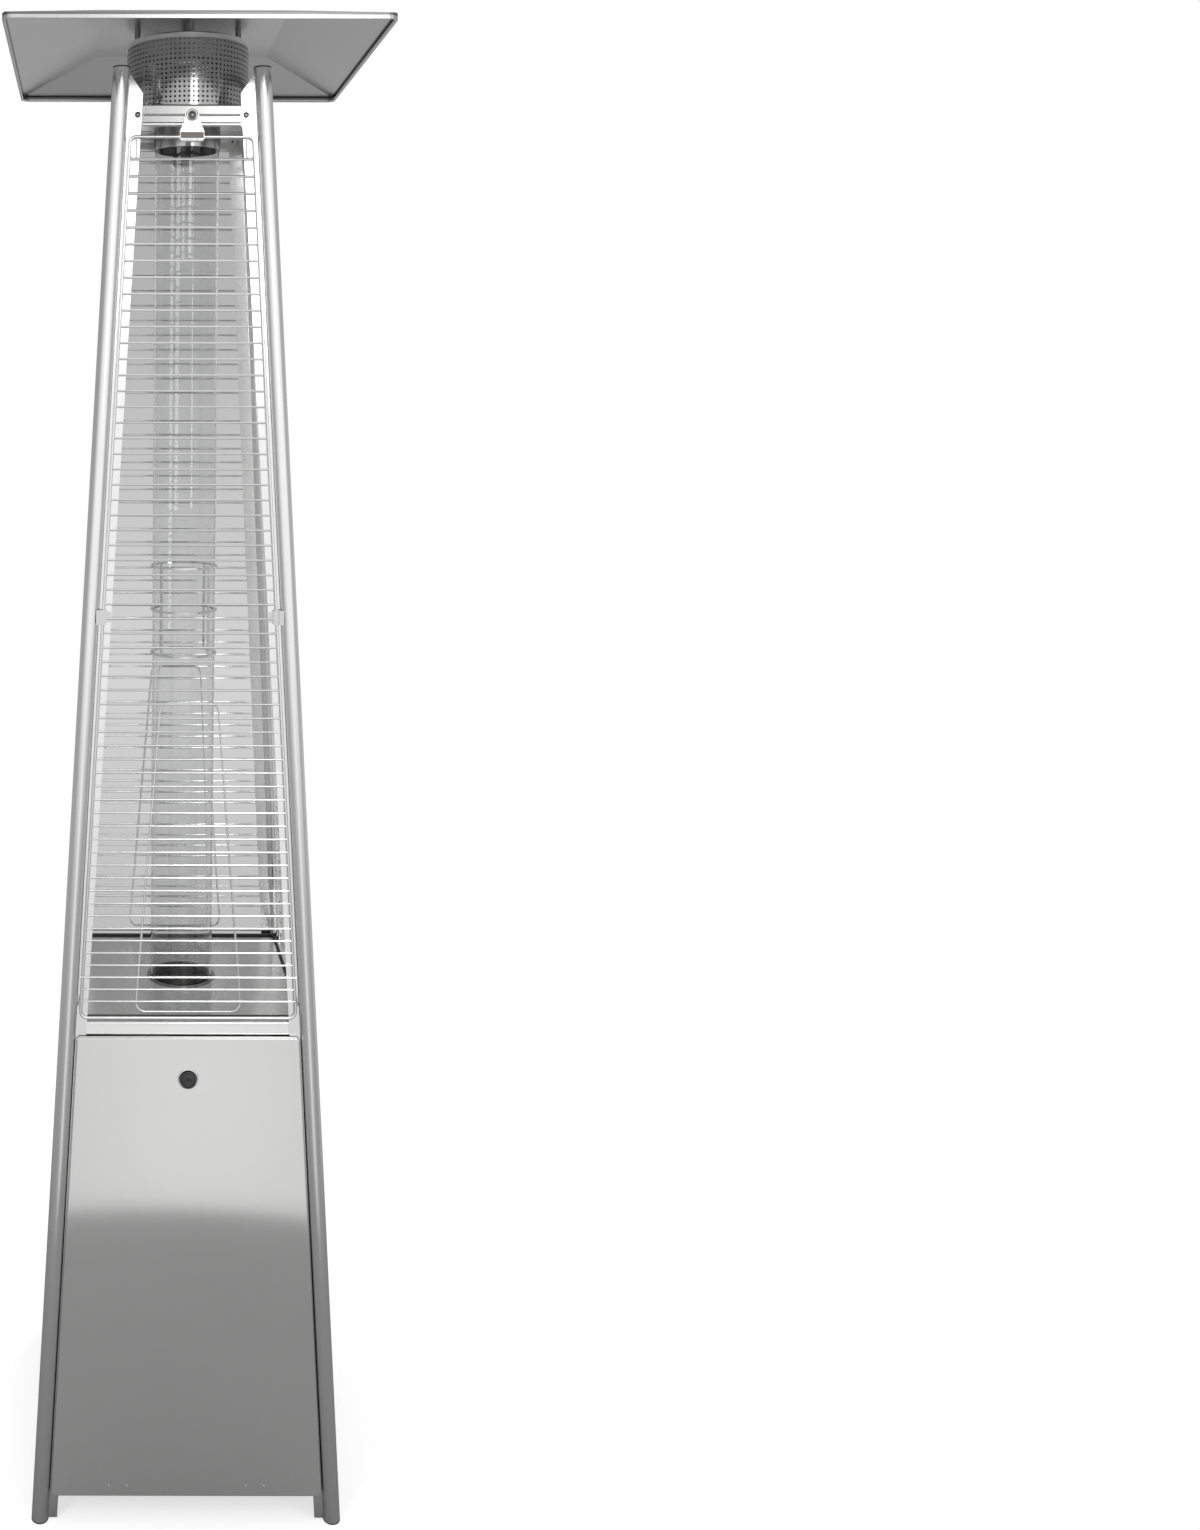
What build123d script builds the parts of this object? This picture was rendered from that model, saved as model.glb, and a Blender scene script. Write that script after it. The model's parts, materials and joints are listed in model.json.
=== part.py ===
from build123d import *
import os
from math import atan, cos, degrees, radians, sin, sqrt

# Four-sided gas patio heater: four leaning corner posts carry a cabinet for the gas bottle,
# a burner deck, a glass flame tube behind four wire guards, a perforated emitter and a reflector.
# Millimetres. +Z is up, the front looks towards -Y, the origin is on the floor under the centre.

# Corner posts: a round bead with two flanges at a right angle, leaning inward on both sides
leg_height = 2195
foot_half = 223
crown_half = 104.5
bead_radius = 13
bead_wall = 1.2
flange_reach = 34
flange_foot_reach = 26
flange_sheet = 2
flange_tip_drop = 8
flange_shoulder_drop = 37
plug_rim = 2
plug_depth = 14
plug_gap = 0.1

# Sheet metal and general clearances
sheet = 1.2
sheet_gap = 0.1
bead_gap = 1.5
cut_over = 5
round_steps = 4

# Bottle tray, cabinet panels and door
tray_top = 72
tray_wall = 24
tray_bend = 4
panel_low = 40
panel_top_gap = 2
panel_depth = 6
panel_bend = 2.5
panel_corner = 4
panel_side_gap = 1.2
door_stand_off = 3
vent_length = 70
vent_width = 7
vent_pitch = 18
vent_rows = 4
vent_spread = 90
vent_corner = 2
vent_drop = 120

# Door hinges and magnet catch
hinge_centre = 104.5
hinge_half = 20
hinge_knuckle = 6.7
hinge_play = 0.3
hinge_rise = 3
hinge_out = 4.5
hinge_radius = 2.8
hinge_pin_radius = 1.4
hinge_pin_play = 0.05
hinge_leaf = 1.5
hinge_leaf_height = 23
rivet_spacing = 27
rivet_rise = 16
rivet_radius = 2.6
rivet_height = 1
catch_centre = 105
catch_half = 15
catch_height = 14
catch_sheet = 1.5
magnet_half = 20
magnet_depth = 14
magnet_proud = 1.4
magnet_gap = 0.3

# Burner deck and glass seat
deck_top = 768
deck_wall = 20
deck_bend = 6
deck_hole = 52.6
glass_radius = 50
glass_wall = 2.5
glass_joint = 1372
glass_fit = 0.6
seat_lip = 55
seat_lip_sheet = 1.5
seat_drop = 5
seat_ledge = 44
gasket_height = 2

# Coupling cage where the lower and upper glass tubes meet
cage_wire = 3
cage_spacing = 70
cage_gap = 0.3
cage_bars = 4

# Burner
bowl_depth = 52
bowl_radius = 54.5
bowl_flange = 70
head_radius = 33
head_height = 14
head_lift = 22
head_slots = 12
head_slot_width = 3
head_slot_depth = 9
venturi_radius = 14
venturi_wall = 1.6
venturi_length = 66
air_window = 11
air_window_height = 20
orifice_radius = 5
orifice_length = 16
orifice_tip = 2.5
jet_fit = 0.1
pilot_circle = 43.5
pilot_radius = 4
pilot_height = 32
pilot_collar = 2
pilot_tail = 18
probe_radius = 2.5
probe_height = 40
probe_angle = 35

# Gas valve, knob and their bracket
knob_drop = 62
knob_radius = 12.5
knob_length = 10
knob_dome = 4.5
knob_recess = 1
knob_hole_gap = 1.6
knob_door_gap = 1
knob_travel = 4
spindle_radius = 4
spindle_play = 0.05
spindle_tail = 12
neck_radius = 9
neck_length = 9
bracket_back = 17
bracket_sheet = 2
bracket_half = 30
bracket_wing = 34
bracket_drop = 34
bracket_shelf = 26
valve_half = 18
valve_height = 34
valve_length = 42
valve_round = 4
plunger_radius = 3
plunger_length = 26
outlet_radius = 8
outlet_length = 8
pipe_radius = 4
pipe_bend = 14
pipe_run = 48
inlet_radius = 6.58
inlet_length = 14
inlet_nut = 9
inlet_nut_height = 10
tilt_radius = 10
tilt_height = 26

# Wire guards
guard_lift = 4
guard_drop = 14
guard_side_gap = 3
guard_rail = 5
guard_seat = 0.2
guard_corner = 12
guard_steps = 62
guard_wire = 3.2
guard_wire_inset = 0.4
loop_low_rise = 15
loop_height = 471
loop_low_half = 79
loop_high_half = 45
loop_corner = 15
loop_weld = 0.2
latch_sheet = 1.2
latch_eye = 10
latch_waist = 24
latch_waist_rise = 19
latch_foot = 36
latch_foot_rise = 5
latch_screw_drop = 18
latch_boss = 5
latch_hook = 8
latch_gap = 0.4
clip_height = 22
clip_foot_height = 16
clip_sheet = 1
clip_gap = 0.2
clip_foot = 8
clip_wing = 8
clip_step = 1.2

# Top pan, glass collar, emitter and reflector
pan_drop = 52
pan_wall = 33
pan_bend = 3
pan_hem = 3
pan_swage = 1.6
pan_swage_rise = 17
pan_hole = 46.5
collar_depth = 50
collar_flange = 64
glass_top_gap = 22
emitter_radius = 94
emitter_height = 110
emitter_sheet = 1
emitter_cap_depth = 9
emitter_cap_gap = 0.2
emitter_shoulder = 5
emitter_foot = 6
bolt_circle = 78
bolt_radius = 2.5
bolt_gap = 0.1
bolt_head = 4.5
bolt_head_height = 3
spacer_height = 16
spacer_radius = 4.5
reflector_half = 272
reflector_flat_half = 138.5
reflector_rise = 38
reflector_rim = 8
reflector_corner = 14
reflector_sheet = 1
nut_radius = 5
nut_height = 7
nut_dome = 2

# Screws
screw_radius = 2
screw_head = 4.4
screw_head_height = 2.5
screw_length = 7
screw_sides = 6
screw_inset = 6
panel_screw_drop = 60

# Wheels under the rear edge
wheel_radius = 23
wheel_width = 24
wheel_round = 4
wheel_hub = 9
wheel_hub_proud = 2
wheel_inset = 71
wheel_rise = 25
wheel_reach = 26
axle_radius = 4
axle_play = 0.05
axle_end = 4
ear_sheet = 2.5
ear_radius = 8
ear_gap = 1
bar_drop = 8
bar_back = 6

slope = (foot_half - crown_half) / leg_height
lean = degrees(atan(slope))
face_stretch = sqrt(1 + slope * slope)
post_stretch = sqrt(1 + 2 * slope * slope)
FRONT = Plane(
    origin=(0, -foot_half, 0),
    x_dir=(1, 0, 0),
    z_dir=(0, -cos(radians(lean)), sin(radians(lean))),
).location
SIDES = {"front": 0, "right": 1, "rear": 2, "left": 3}

# Heights and depths that several pieces share
deck_low = deck_top - deck_wall
deck_under = deck_top - sheet
panel_high = deck_low - panel_top_gap
knob_height = panel_high - knob_drop
tray_low = tray_top - tray_wall
pan_top = leg_height - pan_drop
pan_low = pan_top - pan_wall
pan_under = pan_top - sheet
guard_low = deck_top + guard_lift
guard_high = pan_low - guard_drop
guard_pitch = (guard_high - guard_low) / guard_steps
rail_inset = bead_radius + guard_side_gap
plane_face = flange_sheet / 2
wall_face = -flange_sheet / 2 - sheet_gap
guard_back = plane_face + guard_seat
guard_front = guard_back + guard_rail
door_inner = door_stand_off + panel_depth - sheet
corner_cut = sqrt(2) * (bead_radius + bead_gap) + 2 * wall_face
cap_top = pan_top + emitter_height
reflector_under = cap_top + spacer_height
ledge_top = deck_top - seat_drop
glass_low = ledge_top + gasket_height
glass_high = pan_top - glass_top_gap
bowl_floor = deck_under - bowl_depth
wheel_centre = foot_half - wheel_inset
wheel_back = foot_half + wheel_reach


def axis_half(z):
    """Distance of a post's centre line from the middle planes at height z."""
    return foot_half - slope * z


def flange_at(z):
    """Reach of a flange from the post's centre line at height z."""
    return flange_foot_reach + (flange_reach - flange_foot_reach) * z / leg_height


def rise(z):
    """Distance up a leaning side for a height z."""
    return z * face_stretch


def on_side(shape, side):
    """Places a shape drawn on the front side's own axes (right, up the slope, outward) on any side."""
    return Rot(0, 0, 90 * SIDES[side]) * FRONT * shape


def on_all_sides(shape):
    """The same shape on each of the four sides, as separate solids."""
    return [on_side(shape, side) for side in SIDES]


def ring(inner, outer, low, high):
    """Level ring about the heater's axis."""
    return extrude(Pos(0, 0, low) * (Circle(outer) - Circle(inner)), high - low)


def turned(points):
    """Solid of revolution about the Z axis from (radius, height) points."""
    return revolve(Plane.XZ * make_face(Polyline(*points, close=True)), Axis.Z)


def round_over(radius, top, bend):
    """Points of a rounded outer edge, from the side up to the top."""
    angles = [90 * step / round_steps for step in range(round_steps + 1)]
    return [
        (radius - bend + bend * cos(radians(angle)), top - bend + bend * sin(radians(angle)))
        for angle in angles
    ]


def rod_y(radius, start, end, x, z):
    """Cylinder along +Y."""
    return Pos(x, start, z) * Rot(-90, 0, 0) * Cylinder(
        radius, end - start, align=(Align.CENTER, Align.CENTER, Align.MIN)
    )


def bar_x(radius, start, end):
    """Cylinder along X from start to end."""
    along = (Align.CENTER, Align.CENTER, Align.MIN)
    return Pos(start, 0, 0) * Rot(0, 90, 0) * Cylinder(radius, end - start, align=along)


def block(low, high):
    """Box between two corners."""
    size = [b - a for a, b in zip(low, high)]
    middle = [(a + b) / 2 for a, b in zip(low, high)]
    return Pos(*middle) * Box(*size)


def post_prism(section, low, high):
    """Level section drawn about the front left post's centre line, carried up along the leaning post."""
    start = -axis_half(low)
    return extrude(
        Pos(start, start, low) * section, (high - low) * post_stretch, dir=(slope, slope, 1)
    )


def post_rod(radius, low, high):
    """Rod along the front left post's centre line, with level ends."""
    start = -axis_half(low - cut_over)
    line = Plane(origin=(start, start, low - cut_over), z_dir=(slope, slope, 1))
    rod = extrude(line * Circle(radius), (high - low + 2 * cut_over) * post_stretch)
    between = Box(leg_height, leg_height, high - low, align=(Align.MAX, Align.MAX, Align.MIN))
    return rod & Pos(0, 0, low) * between


def leg():
    """Front left post: open bead, and flanges that widen upwards to a slanted top."""
    tip = leg_height - flange_tip_drop
    shoulder = leg_height - flange_shoulder_drop
    middle = flange_reach / 2
    front_flange = Pos(middle, 0) * Rectangle(flange_reach, flange_sheet)
    side_flange = Pos(0, middle) * Rectangle(flange_sheet, flange_reach)
    flanges = post_prism(front_flange + side_flange, plug_rim, tip)
    root = bead_radius - axis_half(tip)
    edge = flange_at(shoulder) - axis_half(shoulder)
    slant = Polygon(
        (root, tip),
        (edge, shoulder),
        (flange_at(0) - axis_half(0), 0),
        (edge + cut_over, 0),
        (edge + cut_over, leg_height),
        (root, leg_height),
        align=None,
    )
    cutter = extrude(Plane.XZ * slant, foot_half + bead_radius)
    diagonal = Plane(origin=(0, 0, 0), z_dir=(1, -1, 0))
    bead = post_rod(bead_radius, plug_rim, leg_height)
    hollow = post_rod(bead_radius - bead_wall, 0, leg_height + cut_over)
    return bead + (flanges - cutter - mirror(cutter, about=diagonal)) - hollow


def plugs(rim_low, rim_high, spigot_low, spigot_high):
    """Plastic plugs for the four posts: a rim over the bead's end and a spigot inside it."""
    plug = post_rod(bead_radius, rim_low, rim_high)
    plug += post_rod(bead_radius - bead_wall - plug_gap, spigot_low, spigot_high)
    return [Rot(0, 0, 90 * turn) * plug for turn in SIDES.values()]


def octagon(z, inset):
    """Level plan behind the flanges at height z: a square whose cut corners pass the beads."""
    width = 2 * (axis_half(z) + wall_face - inset)
    return Pos(0, 0, z) * chamfer(Rectangle(width, width).vertices(), corner_cut)


def pan_block(low, high, inset, bend):
    """Block whose sides lean with the posts, with a rounded upper edge."""
    body = extrude(octagon(low, inset), high - low, taper=lean)
    long_edges = body.faces().sort_by(Axis.Z)[-1].edges().sort_by(SortBy.LENGTH)[-len(SIDES) :]
    return fillet(long_edges, bend)


def pan(low, high, bend):
    """Square sheet pan, open below, that stands behind the flanges of the posts."""
    return pan_block(low, high, 0, bend) - pan_block(low, high - sheet, sheet, bend - sheet)


def side_outline(low, high, inset):
    """Outline on a side between two heights, with sides parallel to the posts."""
    low_half = axis_half(low) - inset
    high_half = axis_half(high) - inset
    return Polygon(
        (-low_half, rise(low)),
        (low_half, rise(low)),
        (high_half, rise(high)),
        (-high_half, rise(high)),
        align=None,
    )


def cabinet_panel(back):
    """Folded panel between the beads of two posts; back is how far its edges stand out."""
    outline = side_outline(panel_low, panel_high, bead_radius + panel_side_gap)
    outline = chamfer(outline.vertices(), panel_corner)
    skin = extrude(Pos(0, 0, back) * outline, panel_depth)
    skin = fillet(skin.faces().sort_by(Axis.Z)[-1].edges(), panel_bend)
    inner = offset(outline, -sheet, kind=Kind.INTERSECTION)
    hollow = extrude(Pos(0, 0, back) * inner, panel_depth - sheet)
    hollow = fillet(hollow.faces().sort_by(Axis.Z)[-1].edges(), panel_bend - sheet)
    return skin - hollow


def rear_panel():
    """Fixed rear panel with a field of vent slots for the bottle bay."""
    panel = cabinet_panel(plane_face + sheet_gap)
    slot = chamfer(Rectangle(vent_length, vent_width).vertices(), vent_corner)
    slots = [
        Pos(side * vent_spread / 2, rise(panel_high - vent_drop - row * vent_pitch), 0) * slot
        for side in (-1, 1)
        for row in range(vent_rows)
    ]
    return panel - [extrude(one, panel_depth + cut_over) for one in slots]


def front_door():
    """Hinged front panel: a hole for the knob, and its lower edge notched at the hinges."""
    door = cabinet_panel(door_stand_off)
    notch = block(
        (-hinge_half - hinge_play, rise(panel_low) - cut_over, 0),
        (hinge_half + hinge_play, rise(panel_low) + sheet + sheet_gap, door_inner),
    )
    door -= [Pos(side * hinge_centre, 0, 0) * notch for side in (-1, 1)]
    face = -axis_half(knob_height) - door_stand_off - panel_depth
    hole = rod_y(knob_radius + knob_hole_gap, face - cut_over, face + cut_over, 0, knob_height)
    return on_side(door, "front") - hole


def knuckle(start, end):
    """One barrel of a hinge about the X axis, bored for the pin."""
    bore = hinge_pin_radius + hinge_pin_play
    barrel = extrude(Circle(hinge_radius) - Circle(bore), end - start)
    return Pos(start, 0, 0) * Rot(0, 90, 0) * barrel


def hinge_door_leaf():
    """Leaf riveted inside the door, with the two outer barrels."""
    inner_side = door_inner - hinge_out - sheet_gap
    leaf = block(
        (-hinge_half, 0, inner_side - hinge_leaf), (hinge_half, hinge_leaf_height, inner_side)
    )
    window = hinge_knuckle + hinge_play
    leaf -= block(
        (-window, -cut_over, -cut_over), (window, hinge_radius + hinge_play, cut_over)
    )
    leaf -= Rot(0, 90, 0) * Cylinder(hinge_pin_radius + hinge_pin_play, 2 * hinge_half)
    return leaf + knuckle(-hinge_half, -window) + knuckle(window, hinge_half)


def hinge_frame_leaf():
    """Leaf on the tray's front wall, with an arm out to the middle barrel."""
    back = wall_face + sheet_gap / 2 - hinge_out
    top = hinge_leaf_height
    leaf = block((-hinge_half, hinge_leaf, back), (hinge_half, top, back + hinge_leaf))
    arm = block((-hinge_knuckle, -hinge_leaf / 2, back), (hinge_knuckle, hinge_leaf, 0))
    arm += block((-hinge_knuckle, hinge_leaf / 2, back), (hinge_knuckle, top / 2, back + hinge_leaf))
    arm -= Rot(0, 90, 0) * Cylinder(hinge_pin_radius + hinge_pin_play, 2 * hinge_half)
    return leaf + arm + knuckle(-hinge_knuckle, hinge_knuckle)


def at_hinges(shape):
    """Copies a piece drawn about the hinge axis to both hinges."""
    height = rise(panel_low) + hinge_rise
    return [
        on_side(Pos(side * hinge_centre, height, hinge_out) * shape, "front") for side in (-1, 1)
    ]


def rivets():
    """Rivet heads on the door's face, two over each hinge leaf."""
    out = door_stand_off + panel_depth
    head = extrude(RegularPolygon(rivet_radius, 2 * screw_sides), rivet_height, taper=30)
    places = [
        hinge * hinge_centre + side * rivet_spacing / 2 for hinge in (-1, 1) for side in (-1, 1)
    ]
    return [on_side(Pos(x, rise(panel_low) + rivet_rise, out) * head, "front") for x in places]


def magnet_catch():
    """Magnet in its holder, hung from the deck's front wall behind the door's upper edge."""
    top = rise(panel_high - panel_top_gap)
    back = magnet_proud - magnet_depth
    holder = block(
        (catch_centre - magnet_half, top - catch_height, back),
        (catch_centre + magnet_half, top, magnet_proud),
    )
    wall_back = wall_face - sheet - sheet_gap
    tab = block(
        (catch_centre - magnet_half, top - catch_sheet, wall_back - catch_sheet),
        (catch_centre + magnet_half, rise(deck_top - deck_bend), wall_back),
    )
    return on_side(holder + tab, "front")


def catch_plate():
    """Steel plate on two folded feet inside the door, which the magnet holds."""
    low = rise(panel_high - panel_top_gap) - catch_height + catch_sheet
    high = rise(panel_high - panel_top_gap) - catch_sheet
    front = magnet_proud + magnet_gap
    channel = block(
        (catch_centre - catch_half, low, front), (catch_centre + catch_half, high, door_inner)
    )
    channel -= block(
        (catch_centre - catch_half + catch_sheet, low, front + catch_sheet),
        (catch_centre + catch_half - catch_sheet, high, door_inner),
    )
    return on_side(channel, "front")


def burner_deck():
    """Deck pan with the opening for the glass seat."""
    return pan(deck_low, deck_top, deck_bend) - Cylinder(deck_hole, 2 * deck_top)


def glass_seat():
    """Ring let into the deck; its inner ledge carries the glass tube."""
    lip_top = deck_top + seat_lip_sheet
    bore = glass_radius + glass_fit
    wall = deck_hole - sheet_gap
    floor = ledge_top - seat_lip_sheet
    return turned(
        [
            (seat_ledge, floor),
            (wall, floor),
            (wall, deck_top),
            (seat_lip, deck_top),
            (seat_lip, lip_top),
            (bore, lip_top),
            (bore, ledge_top),
            (seat_ledge, ledge_top),
        ]
    )


def glass_cage():
    """Three wire rings joined by upright wires, which clasp both tubes where they meet."""
    inner = glass_radius + cage_gap
    outer = inner + cage_wire
    half_wire = cage_wire / 2
    heights = [glass_joint + step * cage_spacing for step in (-1, 0, 1)]
    rings = [ring(inner, outer, z - half_wire, z + half_wire) for z in heights]
    middle = (inner + outer) / 2
    bars = [
        Rot(0, 0, 360 / cage_bars * (turn + 0.5))
        * Pos(middle, 0, glass_joint)
        * Box(cage_wire, cage_wire, 2 * cage_spacing)
        for turn in range(cage_bars)
    ]
    touching_glass = Cylinder(inner, 2 * leg_height)
    return rings[0] + rings[1:] + bars - touching_glass


def burner_bowl():
    """Drawn cup under the deck, with holes for the venturi, pilot and probes."""
    inner = bowl_radius
    outer = bowl_radius + sheet
    top = deck_under - sheet_gap
    cup = turned(
        [
            (0, bowl_floor - sheet),
            (outer, bowl_floor - sheet),
            (outer, top - sheet),
            (bowl_flange, top - sheet),
            (bowl_flange, top),
            (inner, top),
            (inner, bowl_floor),
            (0, bowl_floor),
        ]
    )
    cup -= Pos(0, 0, bowl_floor) * Cylinder(venturi_radius + jet_fit, bowl_depth)
    cup -= Pos(0, -pilot_circle, bowl_floor) * Cylinder(pilot_radius + jet_fit, bowl_depth)
    for side in (-1, 1):
        cup -= probe_place(side) * Cylinder(probe_radius + jet_fit, bowl_depth)
    return cup


def probe_place(side):
    """Place of the thermocouple or the spark electrode, either side of the pilot."""
    return Rot(0, 0, side * probe_angle) * Pos(0, -pilot_circle, bowl_floor)


def venturi_tube():
    """Mixing tube from the gas jet up to the burner head, with four air windows at its foot."""
    low = bowl_floor - venturi_length
    high = bowl_floor + head_lift
    inner = venturi_radius - venturi_wall
    tube = ring(inner, venturi_radius, low, high)
    tube += ring(orifice_radius + jet_fit, venturi_radius, low, low + venturi_wall)
    tube += ring(venturi_radius, venturi_radius + pilot_collar, bowl_floor, bowl_floor + venturi_wall)
    middle = low + venturi_wall + air_window_height
    window = Pos(0, 0, middle) * Box(air_window, venturi_length, air_window_height)
    return tube - window - Rot(0, 0, 90) * window


def burner_head():
    """Domed cap on the mixing tube with a ring of flame slots round its edge."""
    socket = venturi_radius + jet_fit
    base = bowl_floor + head_lift - head_height / 2
    top = base + head_height
    wall = 2 * venturi_wall
    head = turned(
        [
            (socket, base),
            (socket + wall, base),
            (head_radius, base + head_height / 2),
            (head_radius, base + head_height - venturi_wall),
            (head_radius - 2 * wall, top),
            (0, top),
            (0, top - wall),
            (socket, top - wall),
        ]
    )
    slot = Pos(head_radius, 0, top) * Box(2 * head_slot_depth, head_slot_width, head_height / 2)
    return head - [Rot(0, 0, 360 / head_slots * turn) * slot for turn in range(head_slots)]


def gas_orifice():
    """Brass jet in the foot of the mixing tube."""
    low = bowl_floor - venturi_length - orifice_length / 2
    tip = low + orifice_length
    jet = turned(
        [
            (0, low),
            (orifice_radius, low),
            (orifice_radius, tip - orifice_tip),
            (orifice_tip, tip),
            (0, tip),
        ]
    )
    hexagon = extrude(RegularPolygon(orifice_radius + orifice_tip / 2, 6), orifice_length / 4)
    return jet + Pos(0, 0, low) * hexagon


def probe(radius, top_radius, height, shoulder):
    """Upright probe through the bowl's floor, held by a collar above it."""
    tip = height - shoulder
    return turned(
        [
            (0, -pilot_tail),
            (radius, -pilot_tail),
            (radius, 0),
            (radius + pilot_collar, 0),
            (radius + pilot_collar, pilot_collar),
            (radius, pilot_collar),
            (radius, tip),
            (top_radius, height),
            (0, height),
        ]
    )


def valve_back():
    """Y of the bracket plate's back face, which the valve is bolted to."""
    return -axis_half(knob_height) + bracket_back


def knob_back():
    """Y of the knob's back face, just in front of the door."""
    return -axis_half(knob_height) - door_stand_off - panel_depth - knob_door_gap


def valve_bracket():
    """Plate hung under the deck: it carries the valve and, on its wing, the tilt switch."""
    back = valve_back()
    top = deck_under - sheet_gap
    neck = neck_radius + jet_fit
    plate = block(
        (-bracket_half, back - bracket_sheet, knob_height - bracket_drop),
        (bracket_half + bracket_wing, back, top),
    )
    shelf = block(
        (-bracket_half, back - bracket_sheet, top - bracket_sheet),
        (bracket_half + bracket_wing, back + bracket_shelf, top),
    )
    plate = plate + shelf - rod_y(neck, back - cut_over, back + cut_over, 0, knob_height)
    bowl_clear = Pos(0, 0, top) * Cylinder(bowl_flange + bead_gap, bowl_depth)
    return plate - bowl_clear


def valve_body():
    """Brass gas valve: front neck, bored through for spindle and plunger, and a rear outlet."""
    back = valve_back()
    rear = back + valve_length
    case = block(
        (-valve_half, back, knob_height - valve_height / 2),
        (valve_half, rear, knob_height + valve_height / 2),
    )
    case = fillet(case.edges().filter_by(Axis.Y), valve_round)
    case += rod_y(neck_radius, back - neck_length, back, 0, knob_height)
    case += rod_y(outlet_radius, rear, rear + outlet_length, 0, knob_height)
    front = back - neck_length - cut_over
    seat = spindle_end() + knob_travel + hinge_play
    case -= rod_y(spindle_radius + spindle_play, front, seat, 0, knob_height)
    stop = spindle_end() + plunger_length + knob_travel + hinge_play
    return case - rod_y(plunger_radius + spindle_play, front, stop, 0, knob_height)


def spindle_end():
    """Y of the spindle's inner end, inside the valve."""
    return valve_back() + spindle_tail - neck_length


def valve_spindle():
    """Spindle that the knob sits on, with a flat for the knob's bore."""
    tip = knob_back() - knob_length + knob_dome + knob_recess
    return rod_y(spindle_radius, tip, spindle_end(), 0, knob_height)


def valve_plunger():
    """Plunger that the spindle pushes in to open the safety valve."""
    start = spindle_end() + sheet_gap
    return rod_y(plunger_radius, start, spindle_end() + plunger_length, 0, knob_height)


def control_knob():
    """Domed push and turn knob, bored for the spindle."""
    bore = spindle_radius + spindle_play
    depth = knob_length - knob_dome - knob_recess + sheet_gap
    dome = round_over(knob_radius, knob_length, knob_dome)
    knob = turned([(bore, 0), (knob_radius, 0), *dome, (0, knob_length), (0, depth), (bore, depth)])
    return Pos(0, knob_back(), knob_height) * Rot(90, 0, 0) * knob


def gas_inlet():
    """Threaded hose connection under the valve, pointing down."""
    top = knob_height - valve_height / 2
    middle = valve_back() + valve_length / 2
    nut = extrude(RegularPolygon(inlet_nut, 6), -inlet_nut_height)
    stem = Pos(0, 0, -inlet_nut_height - inlet_length) * Cylinder(
        inlet_radius, inlet_length, align=(Align.CENTER, Align.CENTER, Align.MIN)
    )
    return Pos(0, middle, top) * (nut + stem)


def gas_pipe():
    """Rigid pipe from the valve's outlet round and up into the jet."""
    start = valve_back() + valve_length + outlet_length
    low = bowl_floor - venturi_length - orifice_length / 2
    floor = low - 2 * pipe_bend
    route = FilletPolyline(
        (0, start, knob_height),
        (0, start + pipe_run, knob_height),
        (0, start + pipe_run, floor),
        (0, 0, floor),
        (0, 0, low),
        radius=pipe_bend,
    )
    section = Plane(origin=route @ 0, z_dir=route % 0) * Circle(pipe_radius)
    return sweep(section, path=route)


def tilt_switch():
    """Safety switch on the wing of the valve bracket."""
    place = Pos(bracket_half + bracket_wing / 2, valve_back() + tilt_radius, knob_height)
    can = Cylinder(tilt_radius, tilt_height)
    base = block(
        (-tilt_radius, -tilt_radius, -tilt_height / 2), (tilt_radius, 0, tilt_height / 2)
    )
    return place * (can + base)


def wire_loop():
    """Tall rounded loop of wire welded behind the lower half of a guard."""
    low = rise(guard_low) + loop_low_rise
    outline = Polygon(
        (-loop_low_half, low),
        (loop_low_half, low),
        (loop_high_half, low + loop_height),
        (-loop_high_half, low + loop_height),
        align=None,
    )
    inner = offset(outline, -guard_wire, kind=Kind.INTERSECTION)
    bent = fillet(outline.vertices(), loop_corner)
    bent -= fillet(inner.vertices(), loop_corner - guard_wire)
    back = guard_front - guard_wire_inset - 2 * guard_wire + loop_weld
    return extrude(Pos(0, 0, back) * bent, guard_wire)


def guard():
    """Welded guard: a rounded frame, level wires at an even pitch, and the tall loop."""
    outline = side_outline(guard_low, guard_high, rail_inset)
    inner = offset(outline, -guard_rail, kind=Kind.INTERSECTION)
    frame = fillet(outline.vertices(), guard_corner)
    frame -= fillet(inner.vertices(), guard_corner - guard_rail)
    rails = extrude(Pos(0, 0, guard_back) * frame, guard_rail)
    middle = guard_front - guard_wire_inset - guard_wire / 2
    wires = []
    for step in range(1, guard_steps):
        height = guard_low + step * guard_pitch
        length = 2 * (axis_half(height) - rail_inset) - guard_rail
        wires.append(Pos(0, rise(height), middle) * Box(length, guard_wire, guard_wire))
    return rails + wires + wire_loop()


def guard_latch():
    """Plate screwed to the top pan through a boss, hooked under the guard's upper rail."""
    eye = rise(pan_top - latch_screw_drop)
    rail_top = rise(guard_high)
    hook = rail_top - guard_rail - latch_gap
    front = guard_front + latch_gap
    half_foot = latch_foot / 2
    waist = rail_top + latch_waist_rise
    flare = Polygon(
        (-half_foot, hook - latch_sheet),
        (half_foot, hook - latch_sheet),
        (half_foot, rail_top + latch_foot_rise),
        (latch_waist / 2, waist),
        (-latch_waist / 2, waist),
        (-half_foot, rail_top + latch_foot_rise),
        align=None,
    )
    neck = Pos(0, waist) * Rectangle(latch_waist, latch_sheet)
    plate = flare + make_hull([*(Pos(0, eye) * Circle(latch_eye)).edges(), *neck.edges()])
    latch = extrude(Pos(0, 0, front) * plate, latch_sheet)
    latch += block(
        (-half_foot, hook - latch_sheet, front - latch_hook), (half_foot, hook, front + latch_sheet)
    )
    boss_back = wall_face + sheet_gap / 2
    boss = extrude(Pos(0, eye, boss_back) * Circle(latch_boss), front - boss_back)
    return latch + boss


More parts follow.
